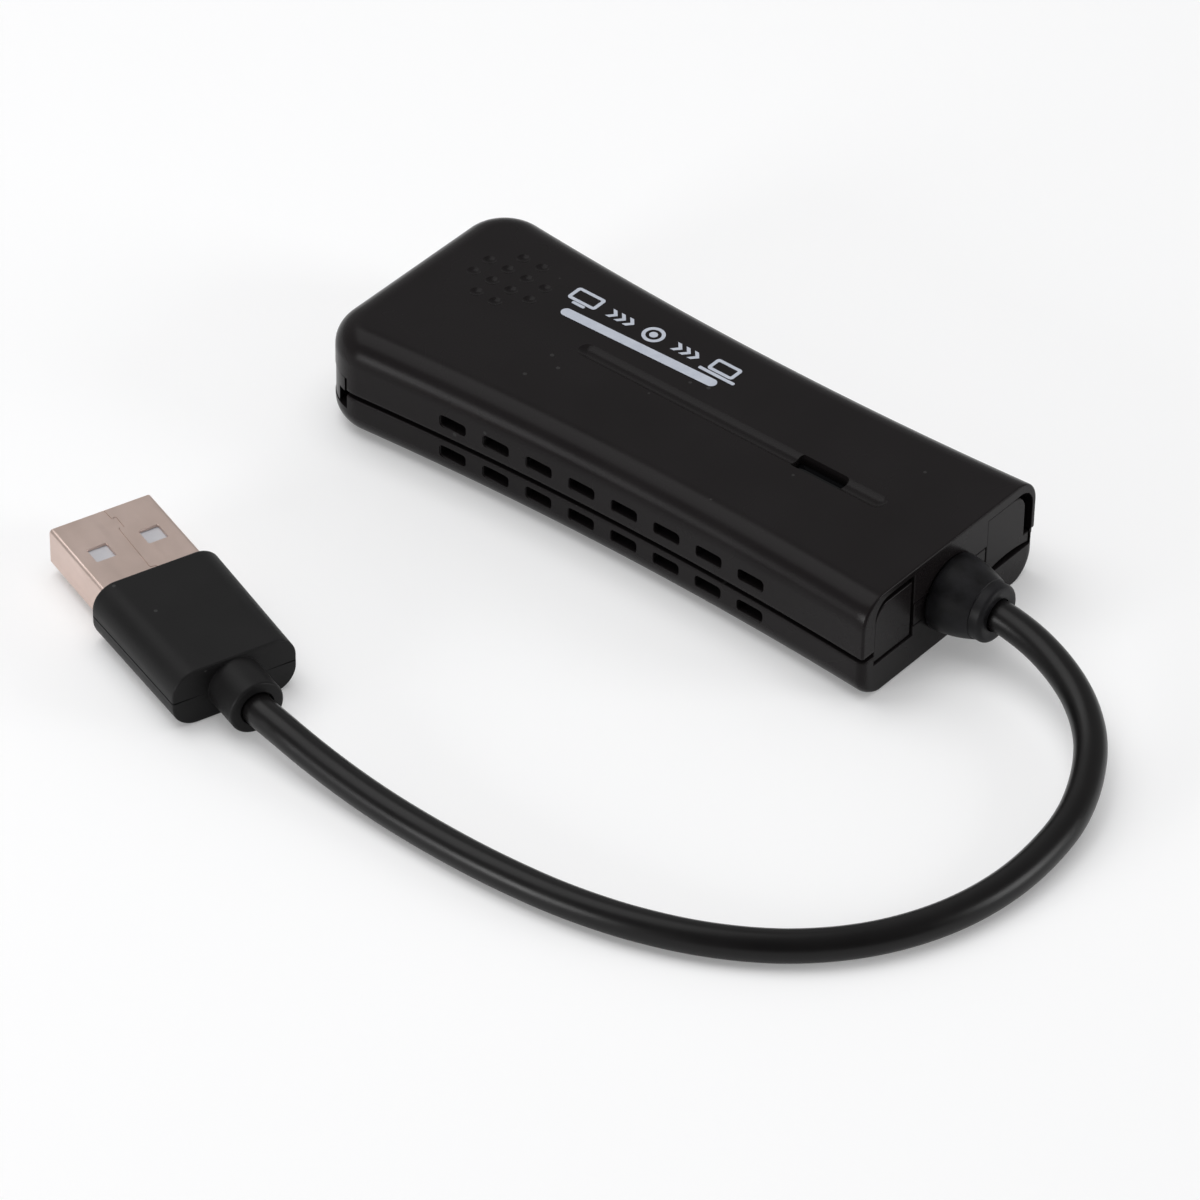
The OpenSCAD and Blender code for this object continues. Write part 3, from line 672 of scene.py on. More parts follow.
NICKEL = SheetFinish("plug_nickel_sheet", (0.69, 0.555, 0.5), (0.62, 0.495, 0.44), (0.36, 0.46))

INNER_FINISHES: dict[str, Finish] = {
    "casing_plastic": CASING,
    "light_pipe_plastic": SMOKED_PIPE_WITH_PAINTED_SHADE,
    "board_laminate": MouldedFinish("board_green_mask", (0.012, 0.09, 0.035), (0.02, 0.12, 0.05), (0.25, 0.35)),
    "socket_metal": SheetFinish("socket_tinned_sheet", (0.66, 0.64, 0.6), (0.56, 0.54, 0.5), (0.25, 0.38)),
    "socket_insulator": MouldedFinish("socket_black_nylon", (0.012, 0.012, 0.013), (0.02, 0.02, 0.021), (0.4, 0.5)),
    "contact_gold": SheetFinish("contact_gold_plating", (0.78, 0.55, 0.2), (0.68, 0.46, 0.16), (0.2, 0.3),
                                streak_scale=1600),
    "chip_epoxy": MouldedFinish("chip_moulding", (0.012, 0.012, 0.013), (0.022, 0.022, 0.024), (0.5, 0.62)),
    "lead_metal": SheetFinish("tinned_leads", (0.68, 0.68, 0.66), (0.56, 0.56, 0.55), (0.28, 0.42), streak_scale=1600),
    "can_metal": SheetFinish("drawn_can", (0.7, 0.7, 0.7), (0.6, 0.6, 0.6), (0.22, 0.34), streak_scale=1400),
    "ferrite": MouldedFinish("ferrite_grey", (0.035, 0.035, 0.037), (0.06, 0.06, 0.062), (0.55, 0.7)),
    "ceramic": MouldedFinish("capacitor_ceramic", (0.3, 0.2, 0.1), (0.38, 0.27, 0.15), (0.35, 0.5)),
    "led_lens": MouldedFinish("led_lens", (0.6, 0.62, 0.6), (0.7, 0.72, 0.7), (0.12, 0.2)),
    "wire_red": MouldedFinish("wire_red", (0.4, 0.012, 0.01), (0.5, 0.02, 0.016), (0.35, 0.45)),
    "wire_white": MouldedFinish("wire_white", (0.68, 0.68, 0.66), (0.78, 0.78, 0.76), (0.35, 0.45)),
    "wire_green": MouldedFinish("wire_green", (0.015, 0.2, 0.04), (0.03, 0.28, 0.06), (0.35, 0.45)),
    "wire_black": MouldedFinish("wire_black", (0.012, 0.012, 0.012), (0.02, 0.02, 0.02), (0.35, 0.45)),
    "cord_jacket": RUBBER,
    "plug_metal": NICKEL,
    "plug_insulator": INSULATOR,
}


def settle(piece: Object, finish: Finish, slot: str, *nodes: str) -> None:
    """Dresses a piece, puts it on the body, hides the solids that it stands for and logs them.

    Args:
        piece: the piece.
        finish: its finish.
        slot: slot of the record; not used.
        nodes: solids that it replaces.
    """
    finish.dress(piece)
    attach(piece, BODY)
    if nodes:
        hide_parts(*nodes)
    log.info("%s: %d faces, for %s", piece.name, len(piece.data.polygons), ", ".join(nodes) or "itself")


@dataclass
class PlugPlace:
    """Where the plug lies: its own X runs from the metal tip to the cord, on the middle line of the grip."""

    neck_end: Triple = (-6.7, -58.2, 3.45)
    length: float = 33.6

    def direction(self) -> np.ndarray:
        """Direction of the plug's own X."""
        return np.array([math.cos(PLUG_YAW), math.sin(PLUG_YAW), 0])

    def world(self, surface: Surface) -> Surface:
        """Turns a surface in the plug's own frame by its yaw and sets it down at its place.

        Args:
            surface: surface in the plug's frame.

        Returns:
            The surface in the part's frame.
        """
        c, s = math.cos(PLUG_YAW), math.sin(PLUG_YAW)
        turn = np.array([[c, -s, 0], [s, c, 0], [0, 0, 1]])
        moved = (surface.points - [self.length, 0, 0]) @ turn.T + np.array(self.neck_end)
        return Surface(moved, surface.faces)


@dataclass(frozen=True)
class Softbox:
    """Rectangular soft light that faces a point on the floor."""

    name: str
    place: Triple
    size: Pair
    power: float
    mirrored: bool = True

    def build(self, aim: Triple) -> None:
        """Hangs the light.

        Args:
            aim: point that it faces, in millimetres.
        """
        lamp = bpy.data.lights.new(self.name, "AREA")
        lamp.shape = "RECTANGLE"
        lamp.size, lamp.size_y = self.size[0] * MM, self.size[1] * MM
        lamp.energy = self.power
        holder = bpy.data.objects.new(self.name, lamp)
        holder.location = Vector(self.place) * MM
        holder.rotation_mode = "QUATERNION"
        holder.rotation_quaternion = (Vector(aim) - Vector(self.place)).to_track_quat("-Z", "Y")
        holder.visible_camera = False
        holder.visible_glossy = self.mirrored
        bpy.context.scene.collection.objects.link(holder)


@dataclass
class StudioStage:
    """Camera at the photograph's angle, pale floor and soft light."""

    target: Triple = (5.976, -18.987, 0)
    azimuth: float = math.radians(39.075)
    elevation: float = math.radians(39.536)
    roll: float = math.radians(1.074)
    distance: float = 778.2
    frame_w: float = 125.0
    sensor_w: float = 36
    clip_m: Pair = (0.05, 20)
    floor_size: float = 6000
    floor_cells: int = 8
    floor_gap: float = 0.04
    floor_tone: Triple = (0.8, 0.8, 0.805)
    floor_patch_tone: float = 0.99
    floor_scales: Pair = (900, 6)
    floor_roughness: float = 0.9
    floor_specular: float = 0.1
    floor_glow: float = 0.18
    lights: tuple[Softbox, ...] = (
        Softbox("ceiling_fill", (0, 0, 700), (600, 600), 1.7, mirrored=False),
        Softbox("overhead_softbox", (-277, -85, 557), (500, 480), 1.35),
        Softbox("front_softbox", (-179, -688, 118), (272, 236), 2.1),
        Softbox("right_softbox", (622, 319, 190), (272, 330), 1.7))
    room_tones: Pair = (0.15, 0.48)
    room_rise: Triple = (-0.766, 0.643, 0)
    room_span: Pair = (-0.8, 0.8)

    def camera(self) -> None:
        """Makes the camera: looks at the target from a distance along its azimuth and elevation, then rolls."""
        sin_a, cos_a = math.sin(self.azimuth), math.cos(self.azimuth)
        sin_e, cos_e = math.sin(self.elevation), math.cos(self.elevation)
        forward = Vector((-sin_a * cos_e, cos_a * cos_e, -sin_e))
        level = Vector((cos_a, sin_a, 0))
        upright = level.cross(forward)
        right = math.cos(self.roll) * level + math.sin(self.roll) * upright
        up = math.cos(self.roll) * upright - math.sin(self.roll) * level
        place = Vector(self.target) * MM - self.distance * MM * forward
        data = bpy.data.cameras.new("studio_camera")
        data.sensor_width = self.sensor_w
        data.sensor_fit = "HORIZONTAL"
        data.lens = self.sensor_w * self.distance / self.frame_w
        data.clip_start, data.clip_end = self.clip_m
        camera = bpy.data.objects.new("studio_camera", data)
        bpy.context.scene.collection.objects.link(camera)
        turn = Matrix((right, up, -forward)).transposed().to_4x4()
        camera.matrix_world = Matrix.Translation(place) @ turn
        bpy.context.scene.camera = camera
        bpy.context.scene.view_settings.view_transform = "Standard"

    def floor(self) -> None:
        """Lays the floor: a flat grid over the whole stage, just under the part, that glows where it is seen."""
        cells, n = np.arange(self.floor_cells), self.floor_cells + 1
        line = np.linspace(-self.floor_size / 2, self.floor_size / 2, n)
        flat = np.stack(np.meshgrid(line, line, indexing="ij"), axis=-1)
        points = Axis.Z.place(-self.floor_gap, flat).reshape(-1, 3)
        first = (cells[:, None] * n + cells).reshape(-1, 1)
        floor = new_piece("studio_floor", Surface(points, (first + np.array([0, n, n + 1, 1])).tolist()))
        material, tree, shader = new_material("pale_floor")
        scales = dict(zip(("Grain Scale", "Patch Scale"), self.floor_scales))
        patch = ranged(tree, Effect.placed(tree, Effect.grain, scales).outputs["Patch"], 0, 1)
        patch_tone = tuple(self.floor_patch_tone * c for c in self.floor_tone)
        rays = add(tree, "LightPath", {}).outputs
        seen = rays["Is Camera Ray"]
        for kind in ("Is Glossy Ray", "Is Transmission Ray"):
            seen = Maths.MOST.of(tree, seen, rays[kind])
        feed(tree, shader, {
            "Base Color": blend(tree, patch, self.floor_tone, patch_tone),
            "Roughness": self.floor_roughness,
            "Specular IOR Level": self.floor_specular,
            "Emission Color": (1, 1, 1, 1),
            "Emission Strength": Maths.TIMES.of(tree, seen, self.floor_glow)})
        floor.data.materials.append(material)

    def room(self) -> None:
        """Gives the room a grey that fills the shadows and rises toward one side."""
        room = bpy.data.worlds.new("studio_room")
        room.use_nodes = True
        tree = room.node_tree
        place = add(tree, "TexCoord", {}).outputs["Generated"]
        side = add(tree, "VectorMath", {0: place, 1: self.room_rise}, operation="DOT_PRODUCT").outputs["Value"]
        feed(tree, tree.nodes["Background"], {"Color": ranged(tree, side, *self.room_tones, self.room_span)})
        bpy.context.scene.world = room

    def build(self) -> None:
        """Makes the whole stage."""
        self.camera()
        self.floor()
        self.room()
        for light in self.lights:
            light.build((0, 0, 0))


@dataclass
class CasingShells:
    """Upper and lower shell: plan outlines with hollow sides piled up into rolled edges and a stepped seam."""

    near_x: float = 37
    far_x: float = -37
    waist_w: float = 27
    waist_x: float = 7
    side_arc_r: float = 420
    height: float = 12.8
    far_corner_r: float = 5.6
    top_edge_r: float = 3.3
    bottom_edge_r: float = 3
    wall: float = 1.5
    end_wall: float = 2
    end_edge_r: float = 0.22
    upper_corner_r: float = 0.3
    lower_corner_r: float = 0.9
    seam_lo: float = 5.2
    seam_hi: float = 5.8
    seam_edge_r: float = 0.14
    lip_top: float = 6.7
    lip_inset: float = 0.75
    lip_fit: float = 0.1
    rim_lip_y: Pair = (0.55, 0.25)
    rim_lip_x: Pair = (1.9, 0.25)
    rim_lip_z: Pair = (5.0, 5.78)
    support: float = 0.35
    vent_n: int = 8
    vent_pitch: float = 5.7
    vent_l: float = 3.4
    vent_h: float = 1.4
    vent_r: float = 0.4
    vent_x: float = 21.6
    vent_flare: Flare = Flare((-0.7, -0.013, 0.021, 0.053, 0.1, 0.18, 2.4), (0.09, 0.09, 0.0648, 0.0378, 0.0144, 0, 0))
    upper_vent_z: float = 7.75
    lower_vent_z: float = 3.7
    web_half_w: float = 6.2
    web_gap: float = 0.2
    web_seam_z: float = 8.1
    web_foot_z: float = 1.2
    web_recess: float = 0.06
    web_edge: Flare = Flare((1.84, 0.1, 0.03, 0), (0, 0, -0.03, -0.1))
    panel_lo_z: float = 4
    panel_corner_r: float = 2.2
    panel_flare: Flare = Flare((-1, -0.007, 0.03, 0.1, 4), (0.08, 0.08, 0.04, 0, 0))
    left_rims: Pair = (2, 0.8)
    right_rims: Pair = (0.7, 1.3)
    boot_z: float = 6.2
    boot_hole_r: float = 3.6
    port_half_w: float = 9.4
    port_z: Pair = (2.9, 10)
    wing_z: Pair = (3.4, 7.4)
    wing_l: float = 4.6
    groove_l: float = 41
    groove_w: float = 2.2
    groove_depth: float = 0.4
    groove_end_x: float = 28.2
    slot_x: float = 19.6
    slot_l: float = 6.2
    slot_w: float = 2
    slot_r: float = 0.4
    slot_flare: Flare = Flare((-1, -0.017, 0.387, 0.6, 2.5), (0.15, 0.15, 0.12, 0, 0))
    dimple_n: int = 4
    dimple_pitch: float = 2.6
    dimple_depth: float = 0.25
    dimple_place: Pair = (-26, 4)
    corner_steps: int = 6
    side_steps: int = 60
    far_steps: int = 28
    roll_steps: int = 22
    seam_steps: int = 5
    inner_steps: int = 7
    vent_steps: int = 7
    panel_steps: int = 12
    hole_steps: int = 64
    groove_steps: tuple[int, int] = (16, 96)
    slot_steps: int = 8
    dimple_steps: tuple[int, int] = (25, 40)

    def half_width(self, x: Values, inset: Values = 0.0) -> Values:
        """Half the width at x: the side's arc, of its radius plus the inset, seen from the arc's centre."""
        return self.waist_w / 2 + self.side_arc_r - np.sqrt((self.side_arc_r + inset) ** 2 - (x - self.waist_x) ** 2)

    def outlines(self, rings: np.ndarray, r: float) -> np.ndarray:
        """Closed plan outlines, one for each ring: end corner, hollow side, far corner, then the mirror image.

        Args:
            rings: rows of (inset, end inset, height).
            r: radius of the corners at the cord end.

        Returns:
            Array of rings by points by three.
        """
        inset, end, height = (rings[:, k, None] for k in range(3))
        arc_y, reach = self.waist_w / 2 + self.side_arc_r, self.side_arc_r + inset
        edge_x = self.near_x - end
        edge_y = self.half_width(edge_x - r, inset)
        start_pad = np.stack([edge_x, edge_y - r - self.support], axis=-1)
        corner = arc(edge_x - r, edge_y - r, r, np.linspace(0, QUARTER, self.corner_steps))
        far_cx = self.far_x + self.far_corner_r
        far_cy = self.half_width(far_cx, self.far_corner_r)
        begin = np.arccos((edge_x - r - self.waist_x) / reach)
        stop = math.atan2(arc_y - far_cy, far_cx - self.waist_x)
        along, round_far = (np.linspace(0, 1, n)[1:] for n in (self.side_steps, self.far_steps))
        side = arc(self.waist_x, arc_y, reach, -begin - (stop - begin) * along)
        far = arc(far_cx, far_cy, self.far_corner_r - inset, np.pi - stop + stop * round_far)
        half = np.concatenate([start_pad, corner, side, far], axis=1)
        mirror = half[:, ::-1] * np.array([1, -1])
        return Axis.Z.place(height, np.concatenate([half, mirror], axis=1))

    def pile(self, rings: Sequence[Sequence[float]], corner_r: float) -> Surface:
        """Solid through a pile of outlines, its first and last ring closed by strips across the casing.

        Args:
            rings: rows of (inset, end inset, height).
            corner_r: radius of the corners at the cord end.

        Returns:
            The closed surface.
        """
        points = self.outlines(np.array(rings, dtype=float), corner_r)
        rows, cols = points.shape[:2]
        i = np.arange(2, cols // 2 - 1)
        strips = np.stack([i, cols - 1 - i, cols - 2 - i, i + 1], axis=-1)
        end = np.array([0, cols - 1, cols - 2, cols - 3, 2, 1])
        top, last = [end.tolist()] + strips.tolist(), (rows - 1) * cols
        base = [(end[::-1] + last).tolist()] + (strips[:, ::-1] + last).tolist()
        return Surface(points.reshape(-1, 3), top + ring_faces(rows, cols) + base)

    def rolled(self, radius: float, face_z: float, sign: float) -> list[list[float]]:
        """Rings from a flat face round its rolled edge: a quarter circle at the sides, a fine one at the end.

        Args:
            radius: radius of the roll.
            face_z: height of the flat face.
            sign: 1 where the casing lies below the face, -1 where above.

        Returns:
            Rows of (inset, end inset, height).
        """
        depth, inset = quarter(radius, self.roll_steps)
        left = np.clip(self.end_edge_r - depth, 0, None)
        end = self.end_edge_r - np.sqrt(np.clip(self.end_edge_r**2 - left**2, 0, None))
        rows = np.stack([inset, end, face_z - sign * depth], axis=-1)
        flat = [[radius + self.support, self.end_edge_r + self.support, face_z]]
        return flat + rows.tolist() + [[0, 0, face_z - sign * (radius + self.support)]]

    def blank(self, name: str, edge_r: float, face_z: float, seam_z: float, lip: float, corner_r: float) -> Object:
        """A shell without openings: rings round its rolled edge, round the seam's fine edge, over the lip and inside.

        Args:
            name: name of the piece.
            edge_r: radius of the rolled edge.
            face_z: height of its flat face.
            seam_z: height of its face at the seam.
            lip: how far its lip or rebate lies in.
            corner_r: radius of the corners at the cord end.

        Returns:
            The shell.
        """
        sign = 1 if face_z > seam_z else -1
        drop, tuck = quarter(self.seam_edge_r, self.seam_steps)
        seam = np.stack([tuck, tuck, seam_z + sign * drop], axis=-1)[::-1]
        depth, inset = quarter(edge_r - self.wall, self.inner_steps)
        end = np.full_like(depth, self.end_wall)
        inner = np.stack([self.wall + inset, end, face_z - sign * (self.wall + depth)], axis=-1)[::-1]
        rings = [*self.rolled(edge_r, face_z, sign), [0, 0, seam_z + sign * (self.seam_edge_r + self.support)], *seam,
                 [lip, lip, seam_z], [lip, lip, self.lip_top], [self.wall, self.end_wall, self.lip_top], *inner]
        return new_piece(name, self.pile(rings, corner_r))

    def vent_tools(self, z: float) -> list[Surface]:
        """Slots through both long walls: rounded rectangles carried across, flared where they meet the surface.

        Args:
            z: height of the row.

        Returns:
            One solid for each slot.
        """
        shape = rounded_loop(self.vent_l / 2, self.vent_h / 2, self.vent_r, self.vent_steps)
        places = self.vent_x - self.vent_pitch * np.arange(self.vent_n)
        return [self.vent_flare.tool(shape + [x, z], Axis.Y, side * self.half_width(x), side)
                for x in places for side in (1, -1)]

    def panel_tools(self) -> list[Surface]:
        """Openings for the two end panels, flared at the face: rectangles with one round upper outer corner.

        Returns:
            One closed surface for each opening.
        """
        tools = []
        for (beside, above), side in ((self.left_rims, -1), (self.right_rims, 1)):
            outer, top, r = self.half_width(self.near_x) - beside, self.height - above, self.panel_corner_r
            corner = arc(outer - r, top - r, r, np.linspace(0, QUARTER, self.panel_steps))
            shape = np.concatenate([[[self.web_half_w, self.panel_lo_z], [outer, self.panel_lo_z]], corner,
                                    [[self.web_half_w, top]]])
            tools.append(self.panel_flare.tool(facing(shape, side), Axis.X, self.near_x))
        return tools

    def end_reach(self) -> Pair:
        """Places before and behind the cord end's wall, for tools that go through it."""
        return self.near_x - self.end_wall - OVER, self.near_x + OVER

    def boot_tool(self) -> Surface:
        """Round hole for the strain relief's neck."""
        profile = np.array([[x, self.boot_hole_r] for x in self.end_reach()])
        return revolved(profile, (0, 0, self.boot_z), Axis.X, self.hole_steps)

    def rim_lip(self) -> Surface:
        """Short upright lip that closes the seam inside the thin rim beside the right panel."""
        across = [self.half_width(self.near_x) - v for v in self.rim_lip_y]
        return carried(rectangle(across, self.rim_lip_z), Axis.X, [self.near_x - v for v in self.rim_lip_x])

    def port_tool(self, gap: float = 0.0, slit: float = 0.0) -> Surface:
        """Opening at the socket end: a wide middle with two lower wings that run out at the corners.

        Args:
            gap: how far the shape is drawn in above, below and beside.
            slit: how far its back is drawn in.

        Returns:
            The closed surface.
        """
        wide, half = self.waist_w, self.port_half_w - gap
        lo, hi = self.port_z[0] + gap, self.port_z[1] - gap
        low, high = self.wing_z[0] + gap, self.wing_z[1] - gap
        right = np.array([[half, lo], [half, low], [wide, low], [wide, high], [half, high], [half, hi]])
        levels = [self.far_x - 2 * OVER, self.far_x + self.wing_l - slit]
        return carried(np.concatenate([right, facing(right, -1)]), Axis.X, levels)

    def groove_tool(self) -> Surface:
        """Shallow groove: a long capsule, turned about X, whose lowest strip dips into the top face.

        Returns:
            The closed surface.
        """
        r = (self.groove_w**2 / 4 + self.groove_depth**2) / (2 * self.groove_depth)
        ends = (self.groove_end_x - self.groove_l + self.groove_w / 2, self.groove_end_x - self.groove_w / 2)
        end_steps, turn_steps = self.groove_steps
        t = np.linspace(0, QUARTER, end_steps)
        profile = np.concatenate([arc(ends[0], 0, r, np.pi - t), arc(ends[1], 0, r, QUARTER - t)])
        return revolved(profile, (0, 0, self.height - self.groove_depth + r), Axis.X, turn_steps)

    def slot_tool(self) -> Surface:
        """Light slot: a rounded rectangle carried down through the roof."""
        shape = rounded_loop(self.slot_l / 2, self.slot_w / 2, self.slot_r, self.slot_steps) + [self.slot_x, 0]
        return self.slot_flare.tool(shape, Axis.Z, self.height)

    def dimple_tools(self) -> list[Surface]:
        """Round dimples in a square grid without its corners: balls that dip into the top face.

        Returns:
            One closed surface for each dimple.
        """
        r, (x, y) = self.dimple_pitch / 2, self.dimple_place
        ball_steps, turn_steps = self.dimple_steps
        ball = arc(0, 0, r, np.linspace(np.pi, 0, ball_steps))
        z = self.height - self.dimple_depth + r
        last = self.dimple_n - 1
        steps = [k - last / 2 for k in range(self.dimple_n)]
        return [revolved(ball, (x + i * self.dimple_pitch, y + j * self.dimple_pitch, z), Axis.Z, turn_steps)
                for i in steps for j in steps if not abs(i) == abs(j) == last / 2]

    def upper(self) -> Object:
        """Builds the upper shell.

        Returns:
            The shell.
        """
        shell = self.blank("casing_upper_shell", self.top_edge_r, self.height, self.seam_hi,
                           self.lip_inset - self.lip_fit, self.upper_corner_r)
        web = rectangle((-self.web_half_w, self.web_half_w),
                        (self.seam_lo - OVER, self.web_seam_z + self.web_gap / 2))
        carve(shell, [*self.vent_tools(self.upper_vent_z), self.groove_tool(), *self.dimple_tools(), self.port_tool(),
                      carried(web, Axis.X, self.end_reach())])
        carve(shell, [self.slot_tool(), *self.panel_tools()])
        carve(shell, [self.boot_tool()])
        return shell

    def lower(self) -> Object:
        """Builds the lower shell with the web under the cord.

        Returns:
            The shell.
        """
        shell = self.blank("casing_lower_shell", self.bottom_edge_r, 0, self.seam_lo, self.lip_inset,
                           self.lower_corner_r)
        half = self.web_half_w - self.web_gap
        web = rectangle((-half, half), (self.web_foot_z, self.web_seam_z - self.web_gap / 2))
        carve(shell, [self.web_edge.tool(web, Axis.X, self.near_x - self.web_recess)], Carving.ADD)
        carve(shell, [*self.vent_tools(self.lower_vent_z), self.port_tool(), *self.panel_tools()])
        carve(shell, [self.boot_tool()])
        carve(shell, [self.rim_lip()], Carving.ADD)
        return shell

    def build(self) -> None:
        """Builds and dresses both shells."""
        for shell, node in ((self.upper(), "top_shell"), (self.lower(), "bottom_shell")):
            shade(shell)
            settle(shell, CASING, "casing_plastic", node)


@dataclass(frozen=True)
class PanelGaps:
    """Gaps round an end panel: web, top, under its ends, more under its middle, outside above and below the seam."""

    web: float
    top: float
    under: float
    bow: float
    outer_up: float
    outer_lo: float


@dataclass
class EndPanels:
    """Two flat panels set into the cord end, with softened front edges."""

    casing: CasingShells
    recess: float = 0.2
    edge_r: float = 0.2
    step_z: float = 5.5
    left_gaps: PanelGaps = PanelGaps(0.1, 0.9, 0.06, 0.0, 0.14, 0.14)
    right_gaps: PanelGaps = PanelGaps(0.14, 0.2, 0.08, 0.5, 0.95, 0.07)
    bow_steps: int = 21
    corner_steps: int = 14
    edge_steps: int = 6

    def outline(self, rims: Pair, gaps: PanelGaps) -> np.ndarray:
        """Right panel's outline: lower edge bowed by half a sine wave, a step at the seam, one round upper corner.

        Args:
            rims: widths of the rims beside and above the opening.
            gaps: gaps between opening and panel.

        Returns:
            Anticlockwise outline in Y and Z.
        """
        casing = self.casing
        edge = casing.half_width(casing.near_x) - rims[0]
        low_y, up_y, web_y = edge - gaps.outer_lo, edge - gaps.outer_up, casing.web_half_w + gaps.web
        top, r = casing.height - rims[1] - gaps.top, casing.panel_corner_r
        s = np.linspace(0, 1, self.bow_steps)
        lower = np.stack([web_y + (low_y - web_y) * s,
                          casing.panel_lo_z + gaps.under + gaps.bow * np.sin(np.pi * s)], axis=-1)
        step = np.array([[low_y, self.step_z], [up_y, self.step_z]]) if up_y < low_y else np.empty((0, 2))
        corner = arc(up_y - r, top - r, r, np.linspace(0, QUARTER, self.corner_steps))
        return np.concatenate([lower, step, corner, [[web_y, top]]])

    def build(self) -> None:
        """Builds both panels: outlines carried along X through the end wall, drawn in round the front edge."""
        casing = self.casing
        depth, inset = (v[::-1] for v in quarter(self.edge_r, self.edge_steps))
        levels = [casing.near_x - casing.end_wall, *(casing.near_x - self.recess - depth)]
        for name, rims, gaps, side, node in (
                ("cord_end_left_panel", casing.left_rims, self.left_gaps, -1, "left_end_panel"),
                ("cord_end_right_panel", casing.right_rims, self.right_gaps, 1, "right_end_panel")):
            outline = facing(self.outline(rims, gaps), side)
            panel = new_piece(name, carried(outline, Axis.X, levels, [0, *(-inset)]))
            shade(panel)
            settle(panel, CASING, "casing_plastic", node)


@dataclass
class PortPanel:
    """Panel round the video socket: a band of the casing's own outline that turns round both corners as wings."""

    casing: CasingShells
    inset: float = 0.07
    thick: float = 1.4
    fit: float = 0.18
    slit: float = 0.45
    notch: float = 1.05
    seam_z: float = 5.5
    socket_half_w: float = 7.7
    socket_z: Pair = (3.5, 9.5)
    socket_slope: float = 1.92
    socket_depth: float = 3
    edge_w: float = 0.07
    edge_segments: int = 2
    edge_angle: float = math.radians(50)

    def band(self) -> Surface:
        """Closed band between two plan outlines of the casing, taller than the opening.

        Returns:
            The closed surface.
        """
        lo, hi = self.casing.port_z[0] - OVER, self.casing.port_z[1] + OVER
        near, deep = self.inset, self.inset + self.thick
        rings = np.array([[near, 0, lo], [near, 0, hi], [deep, 0, hi], [deep, 0, lo]])
        return loft(self.casing.outlines(rings, self.casing.upper_corner_r), closed_rows=True)

    def socket_hole(self) -> Surface:
        """Opening for the socket: a flat top and two sloped lower corners.

        Returns:
            The closed surface.
        """
        half, (lo, hi), slope = self.socket_half_w, self.socket_z, self.socket_slope
        shape = np.array([[-half, hi], [-half, lo + slope], [-half + slope, lo], [half - slope, lo],
                          [half, lo + slope], [half, hi]])
        return carried(shape, Axis.X, [self.casing.far_x - OVER, self.casing.far_x + self.socket_depth])

    def build(self) -> None:
        """Keeps the part of the band in the opening, cuts the socket's hole and the wings' lower ends."""
        casing = self.casing
        panel = new_piece("socket_end_panel", self.band())
        carve(panel, [casing.port_tool(self.fit, self.slit)], Carving.KEEP)
        stop = casing.far_x + casing.wing_l
        box = rectangle((stop - self.slit - self.notch, stop + OVER), (casing.wing_z[0] - OVER, self.seam_z))
        carve(panel, [self.socket_hole(), carried(box, Axis.Y, [-casing.waist_w, casing.waist_w])])
        ease = panel.modifiers.new("fine_edges", "BEVEL")
        ease.width = self.edge_w * MM
        ease.segments = self.edge_segments
        ease.limit_method = "ANGLE"
        ease.angle_limit = self.edge_angle
        shade(panel)
        settle(panel, CASING, "casing_plastic", "port_panel")


@dataclass
class LightPipe:
    """Light pipe: a rod from the status light up to a flange, and a rounded bar in the slot."""

    casing: CasingShells
    rod_r: float = 1.1
    rod_z: float = 4.5
    flange_z: float = 10.5
    flange_r: float = 0.3
    flange_top_z: float = 11.29
    top_z: float = 11.8
    margin: float = 1.0
    fit: float = 0.1
    edge_r: float = 0.22
    edge_steps: int = 7
    corner_steps: int = 8

    def build(self) -> None:
        """Builds the pipe: rounded rectangles piled up from the rod over the flange to the bar's eased top."""
        half_l, half_w = self.casing.slot_l / 2, self.casing.slot_w / 2
        rod = [self.rod_r] * 3
        flange = [half_l + self.margin, half_w + self.margin, self.flange_r]
        bar = [half_l - self.fit, half_w - self.fit, self.casing.slot_r - self.fit]
        rows = [[self.rod_z, *rod], [self.flange_z, *rod], [self.flange_z, *flange], [self.flange_top_z, *flange],
                [self.flange_top_z, *bar]]
        depth, inset = (v[::-1] for v in quarter(self.edge_r, self.edge_steps))
        rows += [[self.top_z - d, *(v - i for v in bar)] for d, i in zip(depth, inset)]
        z, half_l, half_w, r = np.array(rows).T
        flat = rounded_loop(half_l, half_w, r, self.corner_steps) + [self.casing.slot_x, 0]
        pipe = new_piece("slot_light_pipe", loft(Axis.Z.place(z[:, None], flat)))
        shade(pipe)
        settle(pipe, SMOKED_PIPE_WITH_PAINTED_SHADE, "light_pipe_plastic", "light_pipe")


@dataclass(frozen=True)
class ScreenSign:
    """Sign of a screen on a foot: place along the row, half sizes, and how far each lies above the row."""

    x: float
    half: Pair
    rise: float
    foot_half: Pair
    foot_rise: float


